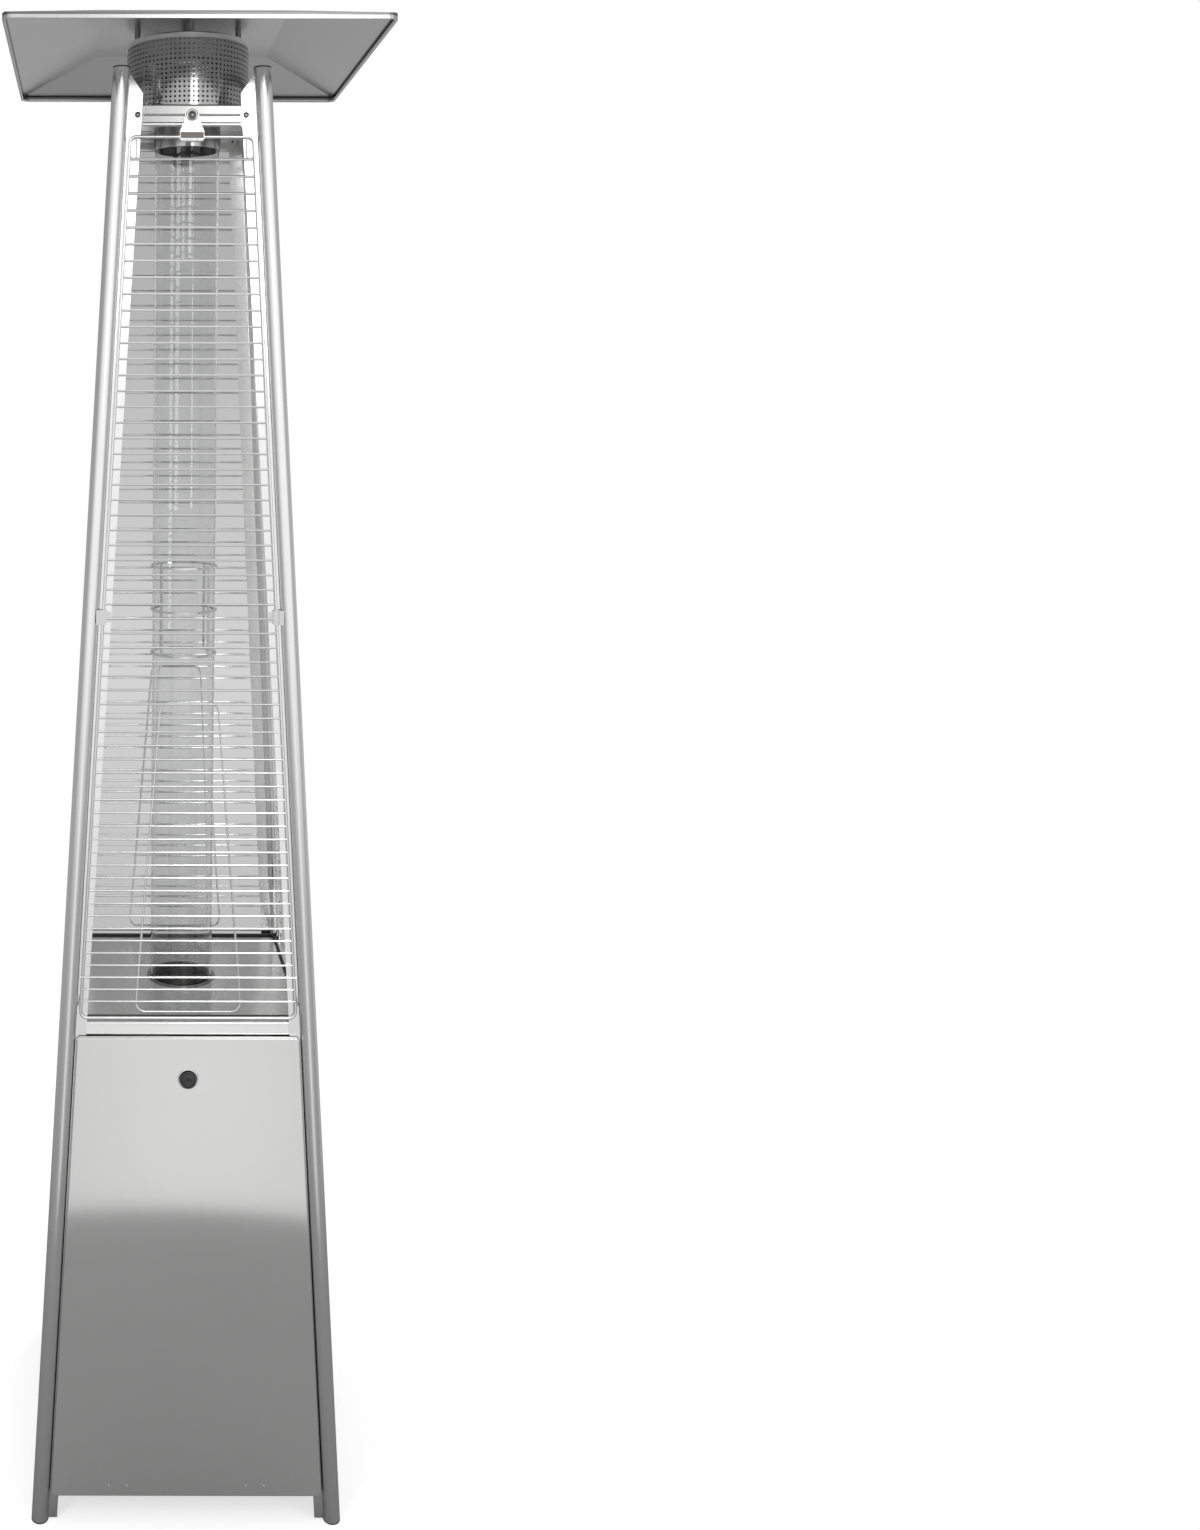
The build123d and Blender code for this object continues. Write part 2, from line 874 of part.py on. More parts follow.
def clip_height_at():
    """Height of the clips: midway between two wires, level with the joint of the glass tubes."""
    step = round((glass_joint - guard_low) / guard_pitch)
    return guard_low + (step + 0.5) * guard_pitch


def guard_clip():
    """Clip on the left flange of a side: welded foot, hook over the rail and wing over the bead."""
    centre = -axis_half(clip_height_at())
    rail = centre + rail_inset
    inner = rail + guard_rail + clip_gap + slope * clip_height
    hook_low = guard_front + clip_gap
    hook_high = hook_low + clip_sheet
    foot_low = plane_face + sheet_gap / 2
    foot_high = foot_low + clip_sheet
    wing_start = centre + clip_wing
    wing_low = sqrt(bead_radius**2 - (clip_wing - slope * clip_height) ** 2) + clip_gap
    wing_high = wing_low + clip_sheet
    step = centre + bead_radius + clip_step
    foot = Polygon(
        (inner, foot_low),
        (inner + clip_foot, foot_low),
        (inner + clip_foot, foot_high),
        (inner + clip_sheet, foot_high),
        (inner + clip_sheet, hook_low),
        (inner, hook_low),
        align=None,
    )
    hook = Polygon(
        (wing_start, wing_low),
        (step, wing_low),
        (step, hook_low),
        (inner + clip_sheet, hook_low),
        (inner + clip_sheet, hook_high),
        (step + clip_sheet, hook_high),
        (step + clip_sheet, wing_high),
        (wing_start, wing_high),
        align=None,
    )
    strip = extrude(Plane.XZ * foot, clip_foot_height / 2, both=True)
    strip += extrude(Plane.XZ * hook, clip_height / 2, both=True)
    return Pos(0, rise(clip_height_at()), 0) * strip


def mirrored(shape):
    """The shape and its mirror image about the middle of a side."""
    return [shape, mirror(shape, about=Plane.YZ)]


def top_pan():
    """Top pan: joins the posts, carries the emitter and holds the glass collar."""
    body = pan(pan_low, pan_top, pan_bend) - Cylinder(pan_hole, 2 * pan_top)
    edge = axis_half(pan_top) - flange_reach - bead_gap
    hem = Pos(0, rise(pan_low) + pan_hem, wall_face) * bar_x(pan_hem, -edge, edge)
    swage = bar_x(pan_swage, -edge, -latch_boss - bead_gap)
    swage = Pos(0, rise(pan_low + pan_swage_rise), wall_face) * swage
    for bead in (hem, *mirrored(swage)):
        body += on_all_sides(bead)
    return body


def glass_collar():
    """Skirt under the top pan that the upper glass tube stands in."""
    inner = glass_radius + glass_fit
    top = pan_under - sheet_gap / 2
    low = top - collar_depth
    return turned(
        [
            (inner, low),
            (inner + sheet, low),
            (inner + sheet, top - sheet),
            (collar_flange, top - sheet),
            (collar_flange, top),
            (inner, top),
        ]
    )


def emitter_screen():
    """Emitter drum with a foot flange that stands on the top pan."""
    inner = emitter_radius - emitter_sheet
    top = cap_top - emitter_shoulder - emitter_cap_gap
    drum = ring(inner, emitter_radius, pan_top, top)
    return drum + ring(inner, emitter_radius + emitter_foot, pan_top, pan_top + emitter_sheet)


def emitter_cap():
    """Lid over the drum with a rounded shoulder."""
    outer = emitter_radius + emitter_cap_gap + emitter_sheet
    inner = outer - emitter_sheet
    low = cap_top - emitter_cap_depth
    under = cap_top - emitter_sheet
    outside = round_over(outer, cap_top, emitter_shoulder)
    inside = round_over(inner, under, emitter_shoulder - emitter_sheet)
    lid = turned([(outer, low), *outside, (0, cap_top), (0, under), *inside[::-1], (inner, low)])
    return lid - bolt_holes(cap_top)


def bolt_places():
    """The four reflector bolts, one towards each side."""
    return [Rot(0, 0, 90 * turn) * Pos(0, -bolt_circle, 0) for turn in SIDES.values()]


def bolt_holes(z):
    """Clearance holes for the reflector bolts through a sheet at height z."""
    drill = Cylinder(bolt_radius + bolt_gap, 2 * cut_over)
    return [place * Pos(0, 0, z) * drill for place in bolt_places()]


def reflector_bolts():
    """Bolts with their heads inside the drum, up through the cap and the reflector."""
    head_top = cap_top - emitter_sheet - sheet_gap / 2
    head = extrude(RegularPolygon(bolt_head, 6), -bolt_head_height)
    shank = Cylinder(
        bolt_radius,
        reflector_under + reflector_sheet + nut_height / 2 - head_top,
        align=(Align.CENTER, Align.CENTER, Align.MIN),
    )
    bolt = Pos(0, 0, head_top) * (head + shank)
    return [place * bolt for place in bolt_places()]


def reflector_spacers():
    """Sleeves between the cap and the reflector."""
    half_gap = sheet_gap / 2
    sleeve = ring(bolt_radius + bolt_gap, spacer_radius, cap_top + half_gap, reflector_under - half_gap)
    return [place * sleeve for place in bolt_places()]


def reflector_nuts():
    """Domed nuts on top of the reflector."""
    seat = reflector_under + reflector_sheet + sheet_gap / 2
    bore = bolt_radius + bolt_gap
    depth = nut_height / 2 + bolt_gap
    dome = round_over(nut_radius - nut_dome / 4, nut_height, nut_dome)
    nut = turned([(bore, 0), (dome[0][0], 0), *dome, (0, nut_height), (0, depth), (bore, depth)])
    nut += extrude(RegularPolygon(nut_radius, 6) - Circle(bore), nut_height / 2)
    return [place * Pos(0, 0, seat) * nut for place in bolt_places()]


def hipped_block(low, knee, flat, half, flat_half, corner):
    """Low hipped roof block: an upright rim, four sloping sides, and rounded plan corners."""
    side = 2 * half
    pitch = degrees(atan((half - flat_half) / (flat - knee)))
    roof = extrude(Pos(0, 0, knee) * Rectangle(side, side), flat - knee, taper=pitch)
    roof += extrude(Pos(0, 0, low) * Rectangle(side, side), knee - low)
    return roof & extrude(Pos(0, 0, low) * RectangleRounded(side, side, corner), flat - low)


def reflector():
    """Square hipped pan: a flat centre, four sloping sides and an upright rim."""
    flat = reflector_under + reflector_sheet
    knee = flat - reflector_rise
    low = knee - reflector_rim
    skin = hipped_block(
        low, knee, flat, reflector_half, reflector_flat_half, reflector_corner
    )
    hollow = hipped_block(
        low,
        knee - reflector_sheet,
        reflector_under,
        reflector_half - reflector_sheet,
        reflector_flat_half - reflector_sheet / 2,
        reflector_corner - reflector_sheet,
    )
    return skin - hollow - bolt_holes(flat)


def screw():
    """Pan head screw about the Z axis; its head's seat is at zero."""
    head = extrude(RegularPolygon(screw_head, screw_sides), screw_head_height, taper=20)
    return head + extrude(RegularPolygon(screw_radius, screw_sides), -screw_length)


def flange_screws(height, seat, sides):
    """One screw through each flange of the given sides at a height."""
    x = axis_half(height) - flange_at(height) + screw_inset
    return [
        on_side(Pos(side * x, rise(height), seat) * screw(), name)
        for name in sides
        for side in (-1, 1)
    ]


def frame_screws():
    """All the alike screws: pans, tray, fixed panels and guard latches."""
    fixed = ("right", "rear", "left")
    screws = flange_screws(pan_low + pan_wall / 2, plane_face, SIDES)
    screws += flange_screws(deck_top - deck_wall / 2, plane_face, SIDES)
    screws += flange_screws(tray_top - tray_wall / 2, plane_face, SIDES)
    face = plane_face + sheet_gap + panel_depth
    for height in (panel_low + panel_screw_drop, panel_high - panel_screw_drop):
        screws += flange_screws(height, face, fixed)
    latch_seat = guard_front + latch_gap + latch_sheet
    latch_screw = Pos(0, rise(pan_top - latch_screw_drop), latch_seat) * screw()
    return screws + on_all_sides(latch_screw)


def wheel_bracket():
    """Cross bar inside the tray's rear wall with four ears that reach back under the panel."""
    bar_y = axis_half(tray_low) + wall_face - sheet - bar_back
    bar = block(
        (-wheel_centre - wheel_width, bar_y - ear_sheet, tray_low - bar_drop),
        (wheel_centre + wheel_width, bar_y, tray_top - sheet - sheet_gap),
    )
    shelf_low = panel_low - 2 * ear_gap
    profile = make_hull(
        [
            *(Pos(wheel_back, wheel_rise) * Circle(ear_radius)).edges(),
            *(
                Pos(bar_y, shelf_low - ear_radius / 2) * Rectangle(ear_radius, ear_radius)
            ).edges(),
        ]
    )
    ear = extrude(Plane.YZ * profile, ear_sheet / 2, both=True)
    riser = block(
        (-ear_sheet / 2, bar_y - ear_radius, shelf_low - ear_radius),
        (ear_sheet / 2, bar_y, tray_low + bar_drop),
    )
    ear += riser
    ear -= Pos(0, wheel_back, wheel_rise) * Rot(0, 90, 0) * Cylinder(
        axle_radius + axle_play, cut_over
    )
    out = wheel_width / 2 + wheel_hub_proud + ear_gap + ear_sheet / 2
    places = [side * wheel_centre + edge * out for side in (-1, 1) for edge in (-1, 1)]
    return bar + [Pos(x, 0, 0) * ear for x in places]


def wheel_axle():
    """Axle through all four ears, with a cap at each end."""
    out = wheel_centre + wheel_width / 2 + wheel_hub_proud + ear_gap + ear_sheet + ear_gap
    rod = Cylinder(axle_radius, 2 * out)
    cap = Cylinder(axle_radius + ear_gap, axle_end)
    rod = rod + [Pos(0, 0, side * (out + axle_end / 2)) * cap for side in (-1, 1)]
    return Pos(0, wheel_back, wheel_rise) * Rot(0, 90, 0) * rod


def wheel(x):
    """Plastic wheel with a proud hub, free on the axle."""
    half = wheel_width / 2
    hub_half = half + wheel_hub_proud
    bore = axle_radius + axle_play
    side = wheel_round / 2
    body = turned(
        [
            (bore, -hub_half),
            (wheel_hub, -hub_half),
            (wheel_hub, -half + side),
            (wheel_radius - 2 * wheel_round, -half + side),
            (wheel_radius - 2 * wheel_round, -half),
            (wheel_radius - side, -half),
            (wheel_radius, -half + wheel_round),
            (wheel_radius, half - wheel_round),
            (wheel_radius - side, half),
            (wheel_radius - 2 * wheel_round, half),
            (wheel_radius - 2 * wheel_round, half - side),
            (wheel_hub, half - side),
            (wheel_hub, hub_half),
            (bore, hub_half),
        ]
    )
    return Pos(x, wheel_back, wheel_rise) * Rot(0, 90, 0) * body


def build():
    """All the pieces by node name."""
    post = leg()
    fence = guard()
    clips = [on_side(one, side) for side in SIDES for one in mirrored(guard_clip())]
    fixed_back = plane_face + sheet_gap
    leg_top = leg_height + plug_rim
    post_names = ("leg_front_left", "leg_front_right", "leg_rear_right", "leg_rear_left")
    parts = {name: Rot(0, 0, 90 * turn) * post for turn, name in enumerate(post_names)}
    parts |= {
        "leg_foot_plugs": plugs(0, plug_rim, plug_rim, plug_rim + plug_depth),
        "leg_top_plugs": plugs(leg_height, leg_top, leg_height - plug_depth, leg_height),
        "bottle_tray": pan(tray_low, tray_top, tray_bend),
        "side_panel_left": on_side(cabinet_panel(fixed_back), "left"),
        "side_panel_right": on_side(cabinet_panel(fixed_back), "right"),
        "rear_panel": on_side(rear_panel(), "rear"),
        "front_door": front_door(),
        "hinge_door_leaves": at_hinges(hinge_door_leaf()),
        "hinge_frame_leaves": at_hinges(hinge_frame_leaf()),
        "hinge_pins": at_hinges(Rot(0, 90, 0) * Cylinder(hinge_pin_radius, 2 * hinge_half)),
        "door_rivets": rivets(),
        "magnet_catch": magnet_catch(),
        "catch_plate": catch_plate(),
        "burner_deck": burner_deck(),
        "glass_seat_ring": glass_seat(),
        "glass_gasket": ring(seat_ledge + sheet, glass_radius + sheet_gap, ledge_top, glass_low),
        "glass_tube_lower": ring(glass_radius - glass_wall, glass_radius, glass_low, glass_joint),
        "glass_tube_upper": ring(glass_radius - glass_wall, glass_radius, glass_joint, glass_high),
        "glass_coupling_cage": glass_cage(),
        "glass_collar": glass_collar(),
        "burner_bowl": burner_bowl(),
        "burner_head": burner_head(),
        "venturi_tube": venturi_tube(),
        "gas_orifice": gas_orifice(),
        "gas_pipe": gas_pipe(),
        "pilot_burner": Pos(0, -pilot_circle, bowl_floor)
        * probe(pilot_radius, pilot_radius / 2, pilot_height, pilot_collar),
        "thermocouple": probe_place(1)
        * probe(probe_radius, probe_radius / 2, probe_height, pilot_collar),
        "spark_electrode": probe_place(-1)
        * probe(probe_radius, probe_radius / 3, probe_height, probe_height / 2),
        "valve_body": valve_body(),
        "valve_bracket": valve_bracket(),
        "valve_plunger": valve_plunger(),
        "valve_spindle": valve_spindle(),
        "control_knob": control_knob(),
        "gas_inlet": gas_inlet(),
        "tilt_switch": tilt_switch(),
        "guard_latches": on_all_sides(guard_latch()),
        "guard_clips": clips,
        "top_pan": top_pan(),
        "emitter_screen": emitter_screen(),
        "emitter_cap": emitter_cap(),
        "reflector_bolts": reflector_bolts(),
        "reflector_spacers": reflector_spacers(),
        "reflector": reflector(),
        "reflector_nuts": reflector_nuts(),
        "frame_screws": frame_screws(),
        "wheel_bracket": wheel_bracket(),
        "wheel_axle": wheel_axle(),
        "wheel_left": wheel(-wheel_centre),
        "wheel_right": wheel(wheel_centre),
    }
    parts |= {f"guard_{side}": on_side(fence, side) for side in SIDES}
    return parts


def main():
    """Writes one STEP file for each node."""
    os.makedirs("parts", exist_ok=True)
    for name, piece in build().items():
        solids = piece if isinstance(piece, list) else [piece]
        whole = Compound(children=[solid for one in solids for solid in one.solids()])
        export_step(whole, f"parts/{name}.step")


main()
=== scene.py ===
import json
from collections import Counter
from math import atan, cos, pi, radians, sin, sqrt, tan

import bmesh
import bpy
from mathutils import Matrix, Vector


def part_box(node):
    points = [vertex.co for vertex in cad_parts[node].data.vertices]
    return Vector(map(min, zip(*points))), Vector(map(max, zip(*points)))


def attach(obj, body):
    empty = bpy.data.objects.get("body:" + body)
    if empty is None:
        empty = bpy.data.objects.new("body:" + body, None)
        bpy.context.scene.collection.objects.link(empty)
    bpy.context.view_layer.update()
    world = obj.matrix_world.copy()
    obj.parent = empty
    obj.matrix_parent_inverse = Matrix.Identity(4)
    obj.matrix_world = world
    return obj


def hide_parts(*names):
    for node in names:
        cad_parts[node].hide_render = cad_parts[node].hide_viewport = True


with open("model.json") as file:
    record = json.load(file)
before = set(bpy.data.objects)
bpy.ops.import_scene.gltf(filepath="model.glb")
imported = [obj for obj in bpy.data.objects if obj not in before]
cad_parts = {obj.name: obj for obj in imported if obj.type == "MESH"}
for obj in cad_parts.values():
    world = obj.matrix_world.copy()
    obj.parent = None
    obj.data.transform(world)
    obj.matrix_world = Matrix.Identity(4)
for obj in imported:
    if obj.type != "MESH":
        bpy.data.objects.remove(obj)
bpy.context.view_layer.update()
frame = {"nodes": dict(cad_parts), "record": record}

# Sizes of the heater, in metres, as the frame has them
LEG_HEIGHT = 2.195
FOOT_HALF = 0.223
CROWN_HALF = 0.1045
BEAD = 0.013
SLOPE = (FOOT_HALF - CROWN_HALF) / LEG_HEIGHT
LEAN = atan(SLOPE)
SIDES = ("front", "right", "rear", "left")

# Guards
GUARD_LOW = 0.772
GUARD_HIGH = 2.096
GUARD_GAPS = 60
RAIL = 0.0025
RAIL_OUT = 0.0037
RAIL_INSET = BEAD + 0.003 + RAIL
GUARD_CORNER = 0.0095
WIRE = 0.0016
WIRE_OUT = 0.0042
WIRE_START = 0.7818
WIRE_STEP = 0.018
WIRE_GROWTH = 6.24e-5
STOUT_STEP = 3
STOUT_WIRE = 1.25 * WIRE
LOOP_WIRE = 1.15 * WIRE
LOOP_OUT = 0.0012
LOOP_RISE = 0.0115
LOOP_HEIGHT = 0.468
LOOP_LOW_HALF = 0.0797
LOOP_HIGH_HALF = 0.0434
LOOP_CORNER = 0.0134
HOOK_WIRE = 0.6 * WIRE
EAR_WIRE = 0.7 * WIRE
EAR_DROP = 0.03
EAR_WIDTH = 0.009

# Reflector's rim
HEM = 0.0022
HEM_CORNER = 0.012

# Latches over the guards' upper rails
LATCH_EYE = 2.125
LATCH_FACE = 0.0062 + 0.0004 + 0.0012
LATCH_SINK = 0.0002
EYE_OUTER = 0.0094
EYE_INNER = 0.0062
EYE_BORE = 0.0044
# Half width of the dark strip painted as shade on each latch
PAINTED_SHADE_HALF = 0.0172
LIP = 0.0024
LIP_HALF = 0.0165

# Lips of the pan and the deck, and the dark cord that paints the shadow gap round the deck
PAN_LIP_Z = 2.11
PAN_LIP = 0.0032
PAN_LIP_INSET = 0.0365
STRIP_Z = 0.748
STRIP_INSET = 0.03
DECK_TOP = 0.768
# Painted shadow: dark cord round the deck's edge
SHADOW_CORD = 0.0021
SHADOW_CORD_INSET = 0.0085
SHADOW_CORD_SET_BACK = 0.006

# Glass
GLASS_WALL = 0.0025
GLASS_BEVEL = 0.0008

# Emitter drum
DRUM = 0.094
DRUM_SHEET = 0.0009
DRUM_COLUMNS = 84
DRUM_ROWS = 14
DRUM_BAND = 0.0034
DRUM_SKIN = 0.0006
HOLE = 0.0018
HOLE_SIDES = 8
# Painted shade inside the drum, above this height, keeping this share of the colour
DRUM_SHADE_FROM = 2.172
DRUM_SHADE_KEPT = 0.12

# Knob and the lip of its hole
KNOB_BORE = 0.0041
KNOB_DOME = 0.0065
KNOB_STEPS = 10
KNOB_MARK = 0.0005
KNOB_HOLE = 0.013

# Painted shade on metal and glass by height, as (height, share of the colour kept); the posts
# darken towards the floor
FRAME_SHADE = ((0.0, 0.68), (0.5, 0.78), (0.8, 0.91), (1.1, 1.0), (2.3, 1.0))
# Painted shade: darker from the deck's top up to the pan than on the deck's front and the pan's top
PAN_SHADE = ((0.74, 1.0), (0.763, 1.0), (0.7674, 0.74), (2.0, 0.74), (2.1, 0.96), (2.15, 0.96),
            (2.17, 1.0), (2.3, 1.0))
# Painted shade on the pan's outer walls above a height, and on the deck round the flame tube's seat
PAN_ABOVE = 2.0
PAN_SKIN = 0.0017
PAN_KEPT = 0.46
SEAT_BELOW = 1.0
SEAT_REACH = 0.0555
SEAT_KEPT = 0.45
RIM_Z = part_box("reflector")[0].z
# Painted shade: a dark band just above the reflector's rolled hem
RIM_SHADE = ((RIM_Z, 1.0), (RIM_Z + 0.0045, 1.0), (RIM_Z + 0.005, 0.29), (RIM_Z + 0.008, 0.29),
            (RIM_Z + 0.0085, 1.0))
# Painted shade: glass darker towards the bottom
GLASS_SHADE = ((0.75, 0.92), (0.9, 0.97), (1.15, 1.0))

# Studio: floor, the veil inside the guards, and greys of what is seen through it and reflected
FLOOR_RADIUS = 1.3
FLOOR_DROP = 0.0002
FLOOR_SEGMENTS = 96
FLOOR_GREY = 0.5
FLOOR_GREY_MIRRORED = 0.29
FLOOR_GLOW = 0.62
VEIL_INSET = 0.004
VEIL_REACH = (0.7695, 2.13)
THROUGH_REACH = (-0.366, 0.196)
THROUGH_GREYS = ((0.0, 0.5), (0.32, 0.66), (0.61, 0.55), (0.79, 0.46), (0.95, 0.4))
FRONT_GREYS = ((0.0, 0.3), (0.18, 0.42), (0.22, 0.95), (0.5, 1.0), (1.0, 0.9))
SIDE_GREYS = ((0.04, 0.0), (0.12, 0.4), (0.3, 0.9), (0.42, 1.0), (0.495, 0.84), (0.533, 1.0),
              (0.573, 0.84), (0.64, 1.0), (0.88, 0.95), (0.95, 0.3), (0.99, 0.0))
LOW_SIDE_GREYS = ((0.1, 0.0), (0.35, 0.12), (0.47, 0.62), (0.533, 1.0), (0.6, 0.62), (0.72, 0.12),
                  (0.9, 0.0))
NARROW_BELOW = -0.26
BROAD_ABOVE = -0.02
BEHIND = 0.2
ROOM_SIDE = 0.36
BACK_GREYS = ((0.0, 0.36), (0.35, 0.52), (0.5, 0.5), (0.62, 0.42), (1.0, 0.42))
BACK_ACROSS = ((0.44, 0.74), (0.62, 1.0))
ROOM_SOFT = 0.75
EVEN_RISE = ((0.0, 0.0), (1.0, 1.0))

# Camera, with the photograph's size, focal length and axis in its own pixels
PHOTO_SIZE = (1200, 1530)
PHOTO_FOCAL = 1439.2
PHOTO_AXIS = (94.6, 530.0)
CAMERA_PLACE = (-0.143, -2.2895, 1.6939)
CAMERA_PITCH = radians(4.874)
CAMERA_ROLL = radians(0.136)

# Screws: their size, and rows of (height, seat, sides) in the flanges and the panels
HEAD = 0.0044
HEAD_HEIGHT = 0.0025
HEAD_RINGS = 7
HEAD_SEGMENTS = 24
RECESS = 0.62
SHANK = 0.0019
SHANK_LENGTH = 0.0065
FLANGE_FACE = 0.001
PANEL_FACE = FLANGE_FACE + 0.0001 + 0.006
SCREW_ROWS = (
    (2.1265, FLANGE_FACE, SIDES),
    (0.758, FLANGE_FACE, SIDES[1:]),
    (0.06, FLANGE_FACE, SIDES),
    (0.1, PANEL_FACE, SIDES[1:]),
    (0.686, PANEL_FACE, SIDES[1:]),
)
SCREW_INSET_FOOT = 0.02
SCREW_INSET_GAIN = 0.008
SCREW_SPIN = 0.7


def axis_half(z):
    """Distance of a post's centre line from the middle planes at height z."""
    return FOOT_HALF - SLOPE * z


def rise(z):
    """Distance up a leaning side for a height z."""
    return z * sqrt(1 + SLOPE * SLOPE)


def side_matrix(side):
    """From a side's own axes (right, up the slope, outward) to the heater's axes."""
    turn = Matrix.Rotation(SIDES.index(side) * pi / 2, 4, "Z")
    columns = Matrix(
        (
            (1, 0, 0, 0),
            (0, sin(LEAN), -cos(LEAN), -FOOT_HALF),
            (0, cos(LEAN), sin(LEAN), 0),
            (0, 0, 0, 1),
        )
    )
    return turn @ columns


# Materials

def node_tree(name):
    """New material, its nodes and its links."""
    material = bpy.data.materials.new(name)
    material.use_nodes = True
    return material, material.node_tree.nodes, material.node_tree.links


def set_shader(nodes, **values):
    """Principled shader with plain numbers on its own sockets."""
    shader = nodes["Principled BSDF"]
    for key, value in values.items():
        shader.inputs[key.replace("_", " ")].default_value = value
    return shader


def object_noise(nodes, links, scale, detail=4.0, spread=(1, 1, 1)):
    """Noise in the heater's own coordinates, stretched along an axis by a small share there."""
    place = nodes.new("ShaderNodeTexCoord")
    stretch = nodes.new("ShaderNodeMapping")
    stretch.inputs["Scale"].default_value = spread
    noise = nodes.new("ShaderNodeTexNoise")
    noise.inputs["Scale"].default_value = scale
    noise.inputs["Detail"].default_value = detail
    links.new(place.outputs["Object"], stretch.inputs["Vector"])
    links.new(stretch.outputs["Vector"], noise.inputs["Vector"])
    return noise.outputs["Fac"]


def ranged(nodes, links, value, low, high):
    """The value spread between two limits."""
    span = nodes.new("ShaderNodeMapRange")
    span.inputs["To Min"].default_value = low
    span.inputs["To Max"].default_value = high
    links.new(value, span.inputs["Value"])
    return span.outputs["Result"]


def mixed(nodes, links, factor, first, second):
    """Colour between two colours."""
    mix = nodes.new("ShaderNodeMix")
    mix.data_type = "RGBA"
    links.new(factor, mix.inputs["Factor"])
    mix.inputs["A"].default_value = (*first, 1)
    mix.inputs["B"].default_value = (*second, 1)
    return mix.outputs["Result"]


def bumped(nodes, links, value, depth):
    """Surface relief from a value."""
    bump = nodes.new("ShaderNodeBump")
    bump.inputs["Strength"].default_value = 1.0
    bump.inputs["Distance"].default_value = depth
    links.new(value, bump.inputs["Height"])
    return bump.outputs["Normal"]


def level_tangent(nodes, links):
    """Level direction along the surface, across an upright grain."""
    surface = nodes.new("ShaderNodeNewGeometry")
    across = nodes.new("ShaderNodeVectorMath")
    across.operation = "CROSS_PRODUCT"
    across.inputs[0].default_value = (0, 0, 1)
    links.new(surface.outputs["Normal"], across.inputs[1])
    return across.outputs["Vector"]


def calc(nodes, links, operation, *values):
    """Math node on sockets and numbers."""
    node = nodes.new("ShaderNodeMath")
    node.operation = operation
    for place, value in zip(node.inputs, values):
        if isinstance(value, (int, float)):
            place.default_value = value
        else:
            links.new(value, place)
    return node.outputs["Value"]


def blended(nodes, links, factor, first, second):
    """Colour between two sockets or plain greys."""
    mix = nodes.new("ShaderNodeMix")
    mix.data_type = "RGBA"
    links.new(factor, mix.inputs["Factor"])
    for place, value in (("A", first), ("B", second)):
        if isinstance(value, (int, float)):
            mix.inputs[place].default_value = (value, value, value, 1)
        else:
            links.new(value, mix.inputs[place])
    return mix.outputs["Result"]


def greys(nodes, links, value, low, high, stops):
    """Grey for a value between two limits, from (share, grey) stops."""
    ramp = nodes.new("ShaderNodeValToRGB")
    elements = ramp.color_ramp.elements
    while len(elements) < len(stops):
        elements.new(0.5)
    for element, (position, grey) in zip(elements, stops):
        element.position = position
        element.color = (grey, grey, grey, 1)
    span = nodes.new("ShaderNodeMapRange")
    span.inputs["From Min"].default_value = low
    span.inputs["From Max"].default_value = high
    links.new(value, span.inputs["Value"])
    links.new(span.outputs["Result"], ramp.inputs["Fac"])
    return ramp.outputs["Color"]


def shaded(nodes, links, colour, kept):
    """Product of two colour sockets."""
    mix = nodes.new("ShaderNodeMix")
    mix.data_type = "RGBA"
    mix.blend_type = "MULTIPLY"
    mix.inputs["Factor"].default_value = 1.0
    links.new(colour, mix.inputs["A"])
    links.new(kept, mix.inputs["B"])
    return mix.outputs["Result"]


def coordinates(nodes, links, kind="Object"):
    """X, Y and Z sockets of the heater's own coordinates, or of a direction in the world."""
    place = nodes.new("ShaderNodeTexCoord")
    parts = nodes.new("ShaderNodeSeparateXYZ")
    links.new(place.outputs[kind], parts.inputs["Vector"])
    return parts.outputs["X"], parts.outputs["Y"], parts.outputs["Z"]


def axis_reach(nodes, links, x, y):
    """Distance from the heater's upright middle line."""
    square = calc(nodes, links, "MULTIPLY", x, x)
    return calc(nodes, links, "SQRT", calc(nodes, links, "MULTIPLY_ADD", y, y, square))


def height_shaded(nodes, links, colour, height_shade):
    """Painted shade: colour darkened by height, from (height, share kept) stops."""
    z = coordinates(nodes, links)[2]
    low, high = height_shade[0][0], height_shade[-1][0]
    stops = [((height - low) / (high - low), share) for height, share in height_shade]
    return shaded(nodes, links, colour, greys(nodes, links, z, low, high, stops))


def painted_drum_shade(nodes, links, colour):
    """Painted shade: darker inside the drum, above a height."""
    x, y, z = coordinates(nodes, links)
    reach = axis_reach(nodes, links, x, y)
    within = calc(nodes, links, "LESS_THAN", reach, DRUM - DRUM_SKIN)
    above = calc(nodes, links, "GREATER_THAN", z, DRUM_SHADE_FROM)
    inside = calc(nodes, links, "MULTIPLY", within, above)
    return shaded(nodes, links, colour, blended(nodes, links, inside, 1.0, DRUM_SHADE_KEPT))


